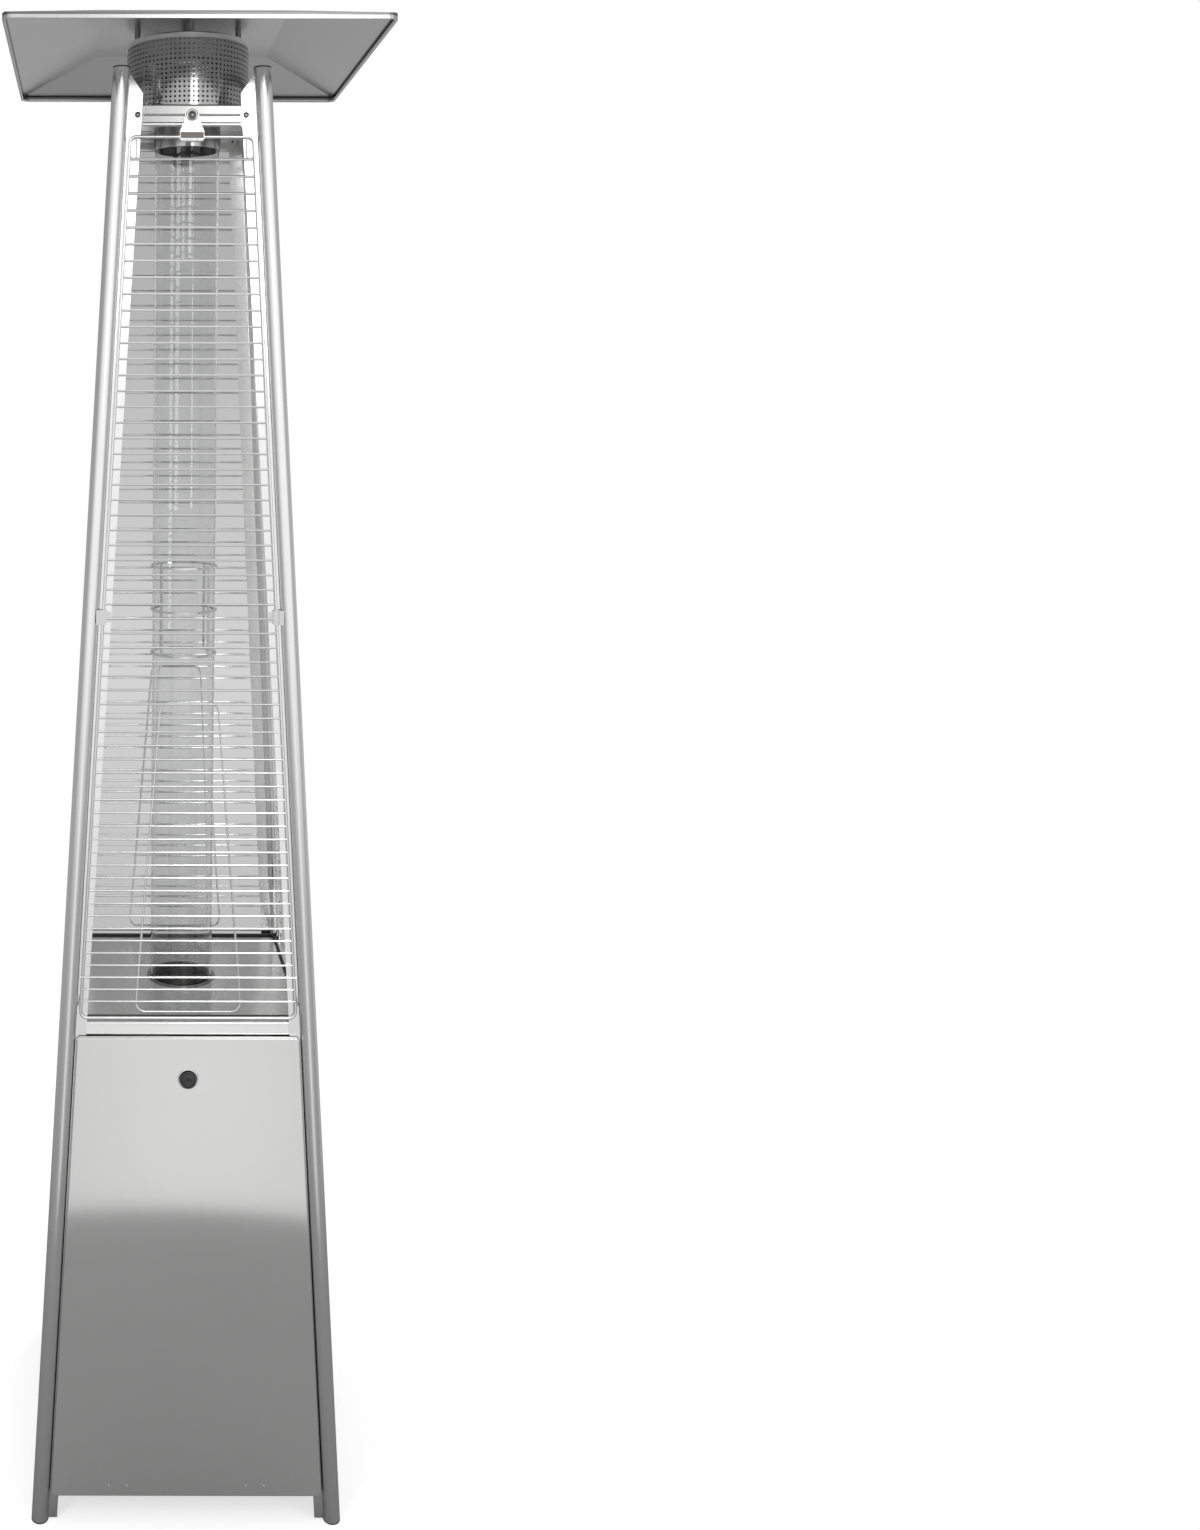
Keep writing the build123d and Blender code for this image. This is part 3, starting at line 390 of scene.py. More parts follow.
def walls_shade(nodes, links, colour):
    """Painted shade: pan darkened on its outer walls, deck darkened where the flame tube stands."""
    x, y, z = coordinates(nodes, links)
    wide = calc(nodes, links, "ABSOLUTE", x)
    deep = calc(nodes, links, "ABSOLUTE", y)
    far = calc(nodes, links, "MAXIMUM", wide, deep)
    lean = calc(nodes, links, "MULTIPLY_ADD", z, SLOPE, far)
    outside = calc(nodes, links, "GREATER_THAN", lean, FOOT_HALF - PAN_SKIN)
    high = calc(nodes, links, "GREATER_THAN", z, PAN_ABOVE)
    painted_wall_shade = calc(nodes, links, "MULTIPLY", outside, high)
    reach = axis_reach(nodes, links, x, y)
    near = calc(nodes, links, "LESS_THAN", reach, SEAT_REACH)
    low = calc(nodes, links, "LESS_THAN", z, SEAT_BELOW)
    seat = calc(nodes, links, "MULTIPLY", near, low)
    kept = blended(nodes, links, painted_wall_shade, 1.0, PAN_KEPT)
    return shaded(nodes, links, colour, blended(nodes, links, seat, kept, SEAT_KEPT))


def metal(
    name, dark, light, rough_low, rough_high, grain=(1, 1, 0.02), scale=900, relief=2e-6,
    brushed=0.0, height_shade=None, shade=None,
):
    """Metal with a grain along one axis, faint clouding and uneven gloss.

    brushed is how far it stretches reflections; the height and place shades darken its colour as
    painted shade.
    """
    material, nodes, links = node_tree(name)
    shader = set_shader(nodes, Metallic=1.0, Anisotropic=brushed)
    if brushed:
        links.new(level_tangent(nodes, links), shader.inputs["Tangent"])
    fine = object_noise(nodes, links, scale, 3.0, grain)
    cloud = object_noise(nodes, links, 5.0, 3.0)
    faint = ranged(nodes, links, cloud, 0.0, 0.4)
    blend = calc(nodes, links, "MULTIPLY_ADD", fine, 0.6, faint)
    colour = mixed(nodes, links, blend, dark, light)
    if height_shade:
        colour = height_shaded(nodes, links, colour, height_shade)
    if shade:
        colour = shade(nodes, links, colour)
    links.new(colour, shader.inputs["Base Color"])
    links.new(ranged(nodes, links, fine, rough_low, rough_high), shader.inputs["Roughness"])
    links.new(bumped(nodes, links, fine, relief), shader.inputs["Normal"])
    return material


def plastic(name, dark, light, roughness, scale, relief):
    """Moulded plastic or rubber with a fine skin texture."""
    material, nodes, links = node_tree(name)
    shader = set_shader(nodes)
    skin = object_noise(nodes, links, scale, 2.0)
    cloud = object_noise(nodes, links, 14.0, 3.0)
    gloss = ranged(nodes, links, cloud, roughness - 0.06, roughness + 0.06)
    links.new(mixed(nodes, links, cloud, dark, light), shader.inputs["Base Color"])
    links.new(gloss, shader.inputs["Roughness"])
    links.new(bumped(nodes, links, skin, relief), shader.inputs["Normal"])
    return material


def clear_glass(name):
    """Clear quartz tube with faint draw lines, darkened towards the bottom as painted shade."""
    material, nodes, links = node_tree(name)
    shader = set_shader(nodes, Roughness=0.0, IOR=1.45, Transmission_Weight=1.0)
    lines = object_noise(nodes, links, 90.0, 2.0, (1, 1, 0.03))
    colour = mixed(nodes, links, lines, (0.87, 0.875, 0.875), (0.93, 0.935, 0.93))
    links.new(height_shaded(nodes, links, colour, GLASS_SHADE), shader.inputs["Base Color"])
    return material


EVEN = (1, 1, 1)
UPRIGHT = (1, 1, 0.05)
LEVEL = (0.02, 1, 1)

MATERIALS = {
    "frame_steel": metal(
        "frame_steel", (0.84, 0.84, 0.84), (0.97, 0.97, 0.965), 0.16, 0.24,
        brushed=0.5, height_shade=FRAME_SHADE,
    ),
    "panel_steel": metal(
        "panel_steel", (0.7, 0.7, 0.695), (0.79, 0.79, 0.785), 0.1, 0.17, brushed=0.7,
    ),
    "pan_steel": metal(
        "pan_steel", (0.8, 0.8, 0.795), (0.94, 0.94, 0.935), 0.16, 0.24, LEVEL,
        height_shade=PAN_SHADE, shade=walls_shade,
    ),
    "reflector_metal": metal(
        "reflector_metal", (0.58, 0.58, 0.58), (0.68, 0.68, 0.68), 0.2, 0.3, LEVEL,
        height_shade=RIM_SHADE,
    ),
    "emitter_steel": metal(
        "emitter_steel", (0.37, 0.37, 0.37), (0.56, 0.56, 0.56), 0.12, 0.2, UPRIGHT,
        shade=painted_drum_shade,
    ),
    "wire_steel": metal(
        "wire_steel", (0.82, 0.82, 0.82), (0.92, 0.92, 0.92), 0.14, 0.22, EVEN,
    ),
    "clip_steel": metal(
        "clip_steel", (0.6, 0.6, 0.6), (0.78, 0.78, 0.775), 0.18, 0.28, UPRIGHT,
    ),
    "fastener_steel": metal(
        "fastener_steel", (0.2, 0.2, 0.2), (0.34, 0.34, 0.34), 0.14, 0.24, EVEN,
    ),
    "hinge_steel": metal(
        "hinge_steel", (0.42, 0.42, 0.4), (0.6, 0.6, 0.57), 0.32, 0.46, EVEN,
    ),
    "burner_steel": metal(
        "burner_steel", (0.12, 0.11, 0.105), (0.26, 0.24, 0.22), 0.35, 0.55, EVEN, 300,
    ),
    "brass": metal("brass", (0.5, 0.36, 0.14), (0.72, 0.56, 0.26), 0.22, 0.34, EVEN, 400),
    "valve_metal": metal(
        "valve_metal", (0.36, 0.36, 0.36), (0.5, 0.5, 0.5), 0.4, 0.55, EVEN, 600, 2e-5,
    ),
    "glass": clear_glass("glass"),
    "plug_plastic": plastic(
        "plug_plastic", (0.012, 0.012, 0.013), (0.03, 0.03, 0.032), 0.5, 900, 2e-5,
    ),
    "tray_steel": plastic("tray_steel", (0.1, 0.1, 0.1), (0.16, 0.16, 0.16), 0.55, 700, 2e-5),
    "gasket": plastic("gasket", (0.03, 0.03, 0.03), (0.06, 0.058, 0.055), 0.8, 1200, 6e-5),
    "knob_plastic": plastic(
        "knob_plastic", (0.02, 0.02, 0.021), (0.034, 0.034, 0.035), 0.3, 1500, 3e-6,
    ),
    "switch_plastic": plastic(
        "switch_plastic", (0.02, 0.02, 0.02), (0.04, 0.04, 0.04), 0.45, 900, 1e-5,
    ),
    "wheel_plastic": plastic(
        "wheel_plastic", (0.01, 0.01, 0.011), (0.025, 0.025, 0.026), 0.5, 600, 3e-5,
    ),
}


def dress_frame():
    """Gives every carried-over node its slot's material."""
    for row in frame["record"]["subparts"]:
        node = frame["nodes"][row["node"]]
        node.data.materials.clear()
        node.data.materials.append(MATERIALS[row["material_slot"]])


# Mesh building

def add_piece(name, vertices, faces, slot, body="root", replaces=(), angle=35, closed=True):
    """Mesh piece that rides on a body, smooth up to an angle between its faces.

    A closed one has its faces turned outward.
    """
    mesh = bpy.data.meshes.new(name)
    mesh.from_pydata(vertices, [], faces)
    mesh.validate()
    if closed:
        form = bmesh.new()
        form.from_mesh(mesh)
        bmesh.ops.recalc_face_normals(form, faces=form.faces)
        form.to_mesh(mesh)
        form.free()
    mesh.update()
    mesh.shade_smooth()
    mesh.set_sharp_from_angle(angle=radians(angle))
    mesh.materials.append(MATERIALS[slot])
    piece = bpy.data.objects.new(name, mesh)
    bpy.context.scene.collection.objects.link(piece)
    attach(piece, body)
    if replaces:
        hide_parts(*replaces)
    return piece


class Shape:
    """Vertices and faces that several forms are added to."""

    def __init__(self):
        self.vertices = []
        self.faces = []

    def add(self, vertices, faces, matrix=None):
        """Adds a form, moved by a matrix if one is given."""
        start = len(self.vertices)
        if matrix is not None:
            vertices = [matrix @ Vector(v) for v in vertices]
        self.vertices += [tuple(v) for v in vertices]
        self.faces += [tuple(start + i for i in face) for face in faces]

    def tube(self, points, radius, sides=10, closed=False, matrix=None):
        """Round wire along points, with its ends capped when it is open."""
        points = [Vector(p) for p in points]
        count = len(points)
        rings = []
        normal = None
        for i in range(count):
            if closed:
                before, after = points[i - 1], points[(i + 1) % count]
            else:
                before, after = points[max(i - 1, 0)], points[min(i + 1, count - 1)]
            along = (after - before).normalized()
            if normal is None:
                normal = along.orthogonal().normalized()
            normal = (normal - along * normal.dot(along)).normalized()
            other = along.cross(normal)
            ring = []
            for k in range(sides):
                turn = 2 * pi * k / sides
                ring.append(points[i] + radius * (cos(turn) * normal + sin(turn) * other))
            rings.append(ring)
        faces = []
        last = count if closed else count - 1
        shift = 0
        if closed:
            shift = min(range(sides), key=lambda k: (rings[0][k] - rings[-1][0]).length)
        for i in range(last):
            j = (i + 1) % count
            offset = shift if closed and i == count - 1 else 0
            for k in range(sides):
                a, b = i * sides + k, i * sides + (k + 1) % sides
                c, d = j * sides + (k + 1 + offset) % sides, j * sides + (k + offset) % sides
                faces.append((a, b, c, d))
        if not closed:
            faces.append(tuple(reversed(range(sides))))
            faces.append(tuple((count - 1) * sides + k for k in range(sides)))
        self.add([v for ring in rings for v in ring], faces, matrix)

    def bar(self, profile, half, matrix=None):
        """Level bar along X from an (out, up) profile."""
        count = len(profile)
        vertices = [(x, up, out) for x in (-half, half) for out, up in profile]
        faces = [tuple(range(count)), tuple(reversed(range(count, 2 * count)))]
        for k in range(count):
            n = (k + 1) % count
            faces.append((k, k + count, n + count, n))
        self.add(vertices, faces, matrix)

    def turned(self, profile, segments=48, matrix=None):
        """Solid of revolution about Z from (radius, height) points; zero radii close it."""
        vertices = []
        faces = []
        rows = []
        for radius, height in profile:
            if radius == 0:
                rows.append([len(vertices)])
                vertices.append((0, 0, height))
                continue
            rows.append(list(range(len(vertices), len(vertices) + segments)))
            for k in range(segments):
                turn = 2 * pi * k / segments
                vertices.append((radius * cos(turn), radius * sin(turn), height))
        for low, high in zip(rows, rows[1:]):
            for k in range(segments):
                n = (k + 1) % segments
                if len(low) == 1 and len(high) == 1:
                    break
                if len(low) == 1:
                    faces.append((low[0], high[n], high[k]))
                elif len(high) == 1:
                    faces.append((low[k], low[n], high[0]))
                else:
                    faces.append((low[k], low[n], high[n], high[k]))
        self.add(vertices, faces, matrix)


def rounded_loop(corners, radius, steps=6):
    """Closed outline through corner points with rounded corners, as 3-D points."""
    corners = [Vector(c) for c in corners]
    points = []
    for i, corner in enumerate(corners):
        back = (corners[i - 1] - corner).normalized()
        ahead = (corners[(i + 1) % len(corners)] - corner).normalized()
        half = back.angle(ahead) / 2
        reach = radius / tan(half)
        centre = corner + (back + ahead).normalized() * (radius / sin(half))
        start = corner + back * reach - centre
        end = corner + ahead * reach - centre
        sweep = start.angle(end)
        for step in range(steps + 1):
            share = step / steps
            arm = start * sin((1 - share) * sweep) + end * sin(share * sweep)
            points.append(centre + arm / sin(sweep))
    return points


# Wire guards

def side_corners(low, high, inset, out):
    """Corners of a side's outline between two heights."""
    low_half = axis_half(low) - inset
    high_half = axis_half(high) - inset
    return [
        (-low_half, rise(low), out),
        (low_half, rise(low), out),
        (high_half, rise(high), out),
        (-high_half, rise(high), out),
    ]


def wire_height(step):
    """Height of a cross wire: the gaps widen evenly from the lower rail to the upper one."""
    return WIRE_START + WIRE_STEP * step + WIRE_GROWTH * step * step


def guard(side):
    """Round wire frame, cross wires welded across it, a tall loop, small hooks and ears."""
    shape = Shape()
    corners = side_corners(GUARD_LOW + RAIL, GUARD_HIGH - RAIL, RAIL_INSET, RAIL_OUT)
    shape.tube(rounded_loop(corners, GUARD_CORNER), RAIL, 12, closed=True)
    for step in range(1, GUARD_GAPS):
        z = wire_height(step)
        over, radius = (1.6, STOUT_WIRE) if step == STOUT_STEP else (0.4, WIRE)
        half = axis_half(z) - RAIL_INSET + over * RAIL
        ends = [(-half, rise(z), WIRE_OUT), (half, rise(z), WIRE_OUT)]
        shape.tube(ends, radius, 8)
    low = rise(GUARD_LOW) + LOOP_RISE
    high = low + LOOP_HEIGHT
    loop = [
        (-LOOP_LOW_HALF, low, LOOP_OUT),
        (LOOP_LOW_HALF, low, LOOP_OUT),
        (LOOP_HIGH_HALF, high, LOOP_OUT),
        (-LOOP_HIGH_HALF, high, LOOP_OUT),
    ]
    shape.tube(rounded_loop(loop, LOOP_CORNER), LOOP_WIRE, 10, closed=True)
    hook_z = wire_height(1)
    up = rise(hook_z)
    top = rise(GUARD_HIGH) - RAIL
    for x in (-1, 1):
        x_rail = x * (axis_half(hook_z) - RAIL_INSET)
        hook = [
            (x_rail + x * RAIL, up + 0.5 * WIRE_STEP, RAIL_OUT),
            (x_rail + 1.5 * x * RAIL, up, RAIL_OUT),
            (x_rail + 2 * x * RAIL, up - 0.3 * WIRE_STEP, RAIL_OUT - RAIL),
            (x_rail + 1.5 * x * RAIL, up - 0.5 * WIRE_STEP, RAIL_OUT - 1.5 * RAIL),
        ]
        shape.tube(hook, HOOK_WIRE, 8)
        x_top = x * (axis_half(GUARD_HIGH) - RAIL_INSET - GUARD_CORNER)
        ear = [
            (x_top, top, WIRE_OUT),
            (x_top, top - EAR_DROP, WIRE_OUT),
            (x_top + x * EAR_WIDTH / 2, top - EAR_DROP - EAR_WIDTH / 3, WIRE_OUT),
            (x_top + x * EAR_WIDTH, top - EAR_DROP, WIRE_OUT),
        ]
        shape.tube(ear, EAR_WIRE, 8)
    matrix = side_matrix(side)
    vertices = [matrix @ Vector(v) for v in shape.vertices]
    add_piece(
        f"wire_guard_{side}", vertices, shape.faces, "wire_steel", replaces=(f"guard_{side}",)
    )


# Emitter

def drum_point(column, height, radius=DRUM):
    """Point of the drum's wall at a share of its columns."""
    turn = 2 * pi * column / DRUM_COLUMNS
    return (radius * sin(turn), -radius * cos(turn), height)


def perforated_drum():
    """Emitter drum: a rolled sheet with rows of round holes, plain bands, and a foot flange.

    The holes' edges are sharp, so that the sheet's thickness isn't smoothed round them.
    """
    low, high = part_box("emitter_screen")
    foot = low.z + DRUM_SHEET
    bottom = foot + DRUM_BAND
    pitch = (high.z - DRUM_BAND - bottom) / DRUM_ROWS
    cell = 2 * pi * DRUM / DRUM_COLUMNS
    vertices = []
    index = {}

    def corner(column, row):
        key = (column % DRUM_COLUMNS, row)
        if key not in index:
            index[key] = len(vertices)
            vertices.append(drum_point(key[0], bottom + row * pitch))
        return index[key]

    faces = []
    for row in range(DRUM_ROWS):
        for column in range(DRUM_COLUMNS):
            rim = []
            for k in range(HOLE_SIDES):
                turn = pi / 4 * k - 3 * pi / 8 - pi / 2
                across = column + 0.5 + HOLE * cos(turn) / cell
                height = bottom + (row + 0.5) * pitch + HOLE * sin(turn)
                rim.append(len(vertices))
                vertices.append(drum_point(across, height))
            corners = [
                corner(column, row),
                corner(column + 1, row),
                corner(column + 1, row + 1),
                corner(column, row + 1),
            ]
            for k in range(4):
                n = (k + 1) % 4
                faces.append((corners[k], corners[n], rim[2 * k + 1], rim[2 * k]))
                faces.append((corners[n], rim[(2 * k + 2) % HOLE_SIDES], rim[2 * k + 1]))
    for level, top_row in ((bottom, 0), (high.z, DRUM_ROWS)):
        near = [corner(c, top_row) for c in range(DRUM_COLUMNS)]
        edge = foot if top_row == 0 else level
        far = list(range(len(vertices), len(vertices) + DRUM_COLUMNS))
        vertices += [drum_point(c, edge) for c in range(DRUM_COLUMNS)]
        for c in range(DRUM_COLUMNS):
            n = (c + 1) % DRUM_COLUMNS
            quad = (near[c], near[n], far[n], far[c])
            faces.append(quad if top_row else quad[::-1])
        if top_row == 0:
            flange = list(range(len(vertices), len(vertices) + DRUM_COLUMNS))
            vertices += [drum_point(c, foot, high.x) for c in range(DRUM_COLUMNS)]
            for c in range(DRUM_COLUMNS):
                n = (c + 1) % DRUM_COLUMNS
                faces.append((far[c], flange[c], flange[n], far[n]))
    drum = add_piece(
        "perforated_drum", vertices, faces, "emitter_steel", replaces=("emitter_screen",), angle=30,
        closed=False,
    )
    uses = Counter(loop.edge_index for loop in drum.data.loops)
    for edge in drum.data.edges:
        if uses[edge.index] == 1:
            edge.use_edge_sharp = True
    thick = drum.modifiers.new("sheet", "SOLIDIFY")
    thick.thickness = DRUM_SHEET
    thick.offset = -1


def reflector_hem():
    """Rolled edge along the reflector's rim."""
    low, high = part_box("reflector")
    half = high.x - HEM
    z = low.z + HEM
    corners = [(-half, -half, z), (half, -half, z), (half, half, z), (-half, half, z)]
    shape = Shape()
    shape.tube(rounded_loop(corners, HEM_CORNER), HEM, 12, closed=True)
    add_piece("reflector_hem", shape.vertices, shape.faces, "reflector_metal")


# Latches with painted shade, lips, and the deck's dark cord as painted shadow

def latch_trim():
    """On each latch: a pressed rim, a dark ring at its screw and a dark strip painted as shade in
    its eye and under its hook's bend, and a rolled lip.
    """
    foot = rise(GUARD_HIGH)
    back = LATCH_FACE - LATCH_SINK
    rim = [
        (EYE_INNER, -LATCH_SINK),
        (EYE_INNER + 0.0002, 0.0006),
        (EYE_OUTER - 0.0016, 0.0009),
        (EYE_OUTER, 0.0),
        (EYE_OUTER, -LATCH_SINK),
    ]
    ring = [
        (EYE_BORE, -LATCH_SINK),
        (EYE_BORE, 0.0003),
        (EYE_INNER, 0.0003),
        (EYE_INNER, -LATCH_SINK),
    ]
    strip = [
        (back, foot - 0.0052),
        (LATCH_FACE + 0.0005, foot - 0.005),
        (LATCH_FACE + 0.0007, foot + 0.0036),
        (back, foot + 0.004),
    ]
    lip = [(x, foot - 0.0078, LATCH_FACE - 0.0016) for x in (-LIP_HALF, LIP_HALF)]
    rims, painted_shades, lips = Shape(), Shape(), Shape()
    for side in SIDES:
        matrix = side_matrix(side)
        seat = matrix @ Matrix.Translation((0, rise(LATCH_EYE), LATCH_FACE))
        rims.turned(rim, matrix=seat)
        painted_shades.turned(ring, matrix=seat)
        painted_shades.bar(strip, PAINTED_SHADE_HALF, matrix)
        lips.tube(lip, LIP, 12, matrix=matrix)
    add_piece("latch_eye_rims", rims.vertices, rims.faces, "wire_steel", closed=False)
    add_piece("latch_painted_shades", painted_shades.vertices, painted_shades.faces, "burner_steel")
    add_piece("latch_lips", lips.vertices, lips.faces, "wire_steel")


def pan_lips():
    """Rolled lower lips of the top pan, and the folded strip under the deck's front wall."""
    rolls, strip = Shape(), Shape()
    half = axis_half(PAN_LIP_Z) - PAN_LIP_INSET
    ends = [(x, rise(PAN_LIP_Z) + 0.003, -0.0008) for x in (-half, half)]
    for side in SIDES:
        rolls.tube(ends, PAN_LIP, 12, matrix=side_matrix(side))
    up = rise(STRIP_Z)
    fold = [
        (-0.0022, up - 0.0075),
        (-0.0012, up - 0.0075),
        (-0.0012, up + 0.001),
        (-0.0022, up + 0.001),
    ]
    strip.bar(fold, axis_half(STRIP_Z) - STRIP_INSET, side_matrix("front"))
    add_piece("pan_lip_rolls", rolls.vertices, rolls.faces, "wire_steel")
    add_piece("deck_drip_strip", strip.vertices, strip.faces, "panel_steel")


def deck_shadow_cord():
    """Dark cord along the edge of the deck, a painted shadow of the gap round the deck plate."""
    z = DECK_TOP + 0.0019
    half = axis_half(DECK_TOP) - SHADOW_CORD_INSET
    front = -half + SHADOW_CORD_SET_BACK
    corners = [(-half, front, z), (half, front, z), (half, half, z), (-half, half, z)]
    shape = Shape()
    shape.tube(rounded_loop(corners, 0.004), SHADOW_CORD, 10, closed=True)
    add_piece("deck_edge_shadow_cord", shape.vertices, shape.faces, "gasket")


# Glass

def glass_tube(name, node):
    """Smooth drawn tube with rounded ends, in place of the plain one."""
    low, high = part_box(node)
    outer = high.x
    inner = outer - GLASS_WALL
    bevel = GLASS_BEVEL
    profile = [
        (inner, low.z + bevel),
        (inner + bevel, low.z),
        (outer - bevel, low.z),
        (outer, low.z + bevel),
        (outer, high.z - bevel),
        (outer - bevel, high.z),
        (inner + bevel, high.z),
        (inner, high.z - bevel),
        (inner, low.z + bevel),
    ]
    shape = Shape()
    shape.turned(profile, 96)
    add_piece(name, shape.vertices, shape.faces, "glass", replaces=(node,), angle=30)


# Knob

def control_knob():
    """Domed knob with a fine raised mark on its face."""
    low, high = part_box("control_knob")
    radius = high.x
    length = high.y - low.y
    side, face = radius - KNOB_DOME, length - KNOB_DOME
    profile = [(KNOB_BORE, 0.0), (0.9 * radius, 0.0), (0.97 * radius, 0.0012), (radius, 0.003)]
    for step in range(KNOB_STEPS + 1):
        turn = pi / 2 * step / KNOB_STEPS
        profile.append((side + KNOB_DOME * cos(turn), face + KNOB_DOME * sin(turn)))
    profile += [(0.4 * radius, length - 0.0004), (0.0, length - 0.0006)]
    seat = Matrix.Translation((0, high.y, (low.z + high.z) / 2))
    place = seat @ Matrix.Rotation(pi / 2, 4, "X")
    mark = [(0, 0.35 * radius, length - 0.0002), (0, 0.8 * radius, length - 0.001)]
    shape = Shape()
    shape.turned(profile, 64, place)
    shape.tube(mark, KNOB_MARK, 8, matrix=place)
    add_piece("domed_knob", shape.vertices, shape.faces, "knob_plastic", "knob", ("control_knob",))


def knob_bezel():
    """Rolled lip of the knob's hole, on the door."""
    low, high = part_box("control_knob")
    up = rise((low.z + high.z) / 2)
    profile = [
        (KNOB_HOLE, 0.0088),
        (KNOB_HOLE, 0.0096),
        (KNOB_HOLE + 0.0004, 0.0099),
        (KNOB_HOLE + 0.0022, 0.0096),
        (KNOB_HOLE + 0.0028, 0.0089),
    ]
    middle = side_matrix("front") @ Matrix.Translation((0, up - 0.009 * SLOPE, 0))
    shape = Shape()
    shape.turned(profile, 64, middle)
    add_piece("knob_hole_lip", shape.vertices, shape.faces, "panel_steel", "door")


# Screws

def screw_form():
    """Pan head with a cross recess, and its shank, about Z with the seat at zero."""
    rings, segments = HEAD_RINGS, HEAD_SEGMENTS
    vertices = [(0, 0, HEAD_HEIGHT * RECESS)]
    faces = []
    for ring in range(1, rings + 1):
        share = ring / rings
        radius = HEAD * share
        height = HEAD_HEIGHT * sqrt(1 - (0.94 * share) ** 3)
        for k in range(segments):
            turn = 2 * pi * k / segments
            x, y = radius * cos(turn), radius * sin(turn)
            recessed = min(abs(x), abs(y)) < 0.16 * HEAD and radius < 0.62 * HEAD
            vertices.append((x, y, height * (RECESS if recessed else 1)))
    for k in range(segments):
        n = (k + 1) % segments
        faces.append((0, 1 + k, 1 + n))
        for ring in range(rings - 1):
            a = 1 + ring * segments
            b = a + segments
            faces.append((a + k, b + k, b + n, a + n))
    last = 1 + (rings - 1) * segments
    base = len(vertices)
    for radius, height in ((HEAD, 0.0), (SHANK, 0.0), (SHANK, -SHANK_LENGTH)):
        for k in range(segments):
            turn = 2 * pi * k / segments
            vertices.append((radius * cos(turn), radius * sin(turn), height))
    rows = [last, base, base + segments, base + 2 * segments]
    for upper, lower in zip(rows, rows[1:]):
        for k in range(segments):
            n = (k + 1) % segments
            faces.append((upper + k, lower + k, lower + n, upper + n))
    faces.append(tuple(rows[-1] + k for k in reversed(range(segments))))
    return vertices, faces


def screw_places():
    """Side, place along and up it, and seat of every screw: in pairs, then one in each latch."""
    for z, seat, sides in SCREW_ROWS:
        reach = axis_half(z) - (SCREW_INSET_FOOT + SCREW_INSET_GAIN * z / LEG_HEIGHT)
        for side in sides:
            for x in (-reach, reach):
                yield side, x, rise(z), seat
    for side in SIDES:
        yield side, 0.0, rise(LATCH_EYE), LATCH_FACE


def screws():
    """All screws as one piece, their recesses turned at will."""
    vertices, faces = screw_form()
    shape = Shape()
    for number, (side, x, up, seat) in enumerate(screw_places()):
        spin = Matrix.Rotation(SCREW_SPIN * number, 4, "Z")
        shape.add(vertices, faces, side_matrix(side) @ Matrix.Translation((x, up, seat)) @ spin)
    add_piece(
        "pan_head_screws", shape.vertices, shape.faces, "fastener_steel",
        replaces=("frame_screws",),
    )


# Stage: floor, world, lamps, camera

def stage(name, vertices, faces, material):
    """Mesh that belongs to the studio, not to the heater."""
    mesh = bpy.data.meshes.new(name)
    mesh.from_pydata(vertices, [], faces)
    mesh.materials.append(material)
    item = bpy.data.objects.new(name, mesh)
    bpy.context.scene.collection.objects.link(item)
    return item


def floor():
    """Pale disc that the heater stands on; seen directly it is nearly white."""
    material, nodes, links = node_tree("pale_floor")
    shader = set_shader(nodes, Roughness=0.9)
    path = nodes.new("ShaderNodeLightPath")
    mirrored = path.outputs["Is Glossy Ray"]
    greyed = blended(nodes, links, mirrored, FLOOR_GREY, FLOOR_GREY_MIRRORED)
    links.new(greyed, shader.inputs["Base Color"])
    glow = nodes.new("ShaderNodeEmission")
    glow.inputs["Color"].default_value = (1, 1, 1, 1)
    glow.inputs["Strength"].default_value = FLOOR_GLOW
    pale = nodes.new("ShaderNodeBsdfDiffuse")
    pale.inputs["Color"].default_value = (FLOOR_GREY, FLOOR_GREY, FLOOR_GREY, 1)
    seen = nodes.new("ShaderNodeAddShader")
    links.new(glow.outputs["Emission"], seen.inputs[0])
    links.new(pale.outputs["BSDF"], seen.inputs[1])
    choice = nodes.new("ShaderNodeMixShader")
    links.new(path.outputs["Is Camera Ray"], choice.inputs["Fac"])
    links.new(shader.outputs["BSDF"], choice.inputs[1])
    links.new(seen.outputs["Shader"], choice.inputs[2])
    links.new(choice.outputs["Shader"], nodes["Material Output"].inputs["Surface"])
    rim = []
    for k in range(FLOOR_SEGMENTS):
        turn = 2 * pi * k / FLOOR_SEGMENTS
        rim.append((FLOOR_RADIUS * cos(turn), FLOOR_RADIUS * sin(turn), -FLOOR_DROP))
    stage("floor", rim, [tuple(range(FLOOR_SEGMENTS))], material)


def veil():
    """Clear sheets inside the guards, part of the studio: the backdrop seen through is grey."""
    material, nodes, links = node_tree("veil")
    clear = nodes.new("ShaderNodeBsdfTransparent")
    links.new(clear.outputs["BSDF"], nodes["Material Output"].inputs["Surface"])
    corners = ((-1, -1), (1, -1), (1, 1), (-1, 1))
    vertices = []
    for z in VEIL_REACH:
        half = axis_half(z) - VEIL_INSET
        vertices += [(half * x, half * y, z) for x, y in corners]
    faces = [(k, (k + 1) % 4, (k + 1) % 4 + 4, k + 4) for k in range(4)]
    sheet = stage("veil", vertices, faces, material)
    sheet.visible_shadow = sheet.visible_diffuse = sheet.visible_glossy = False


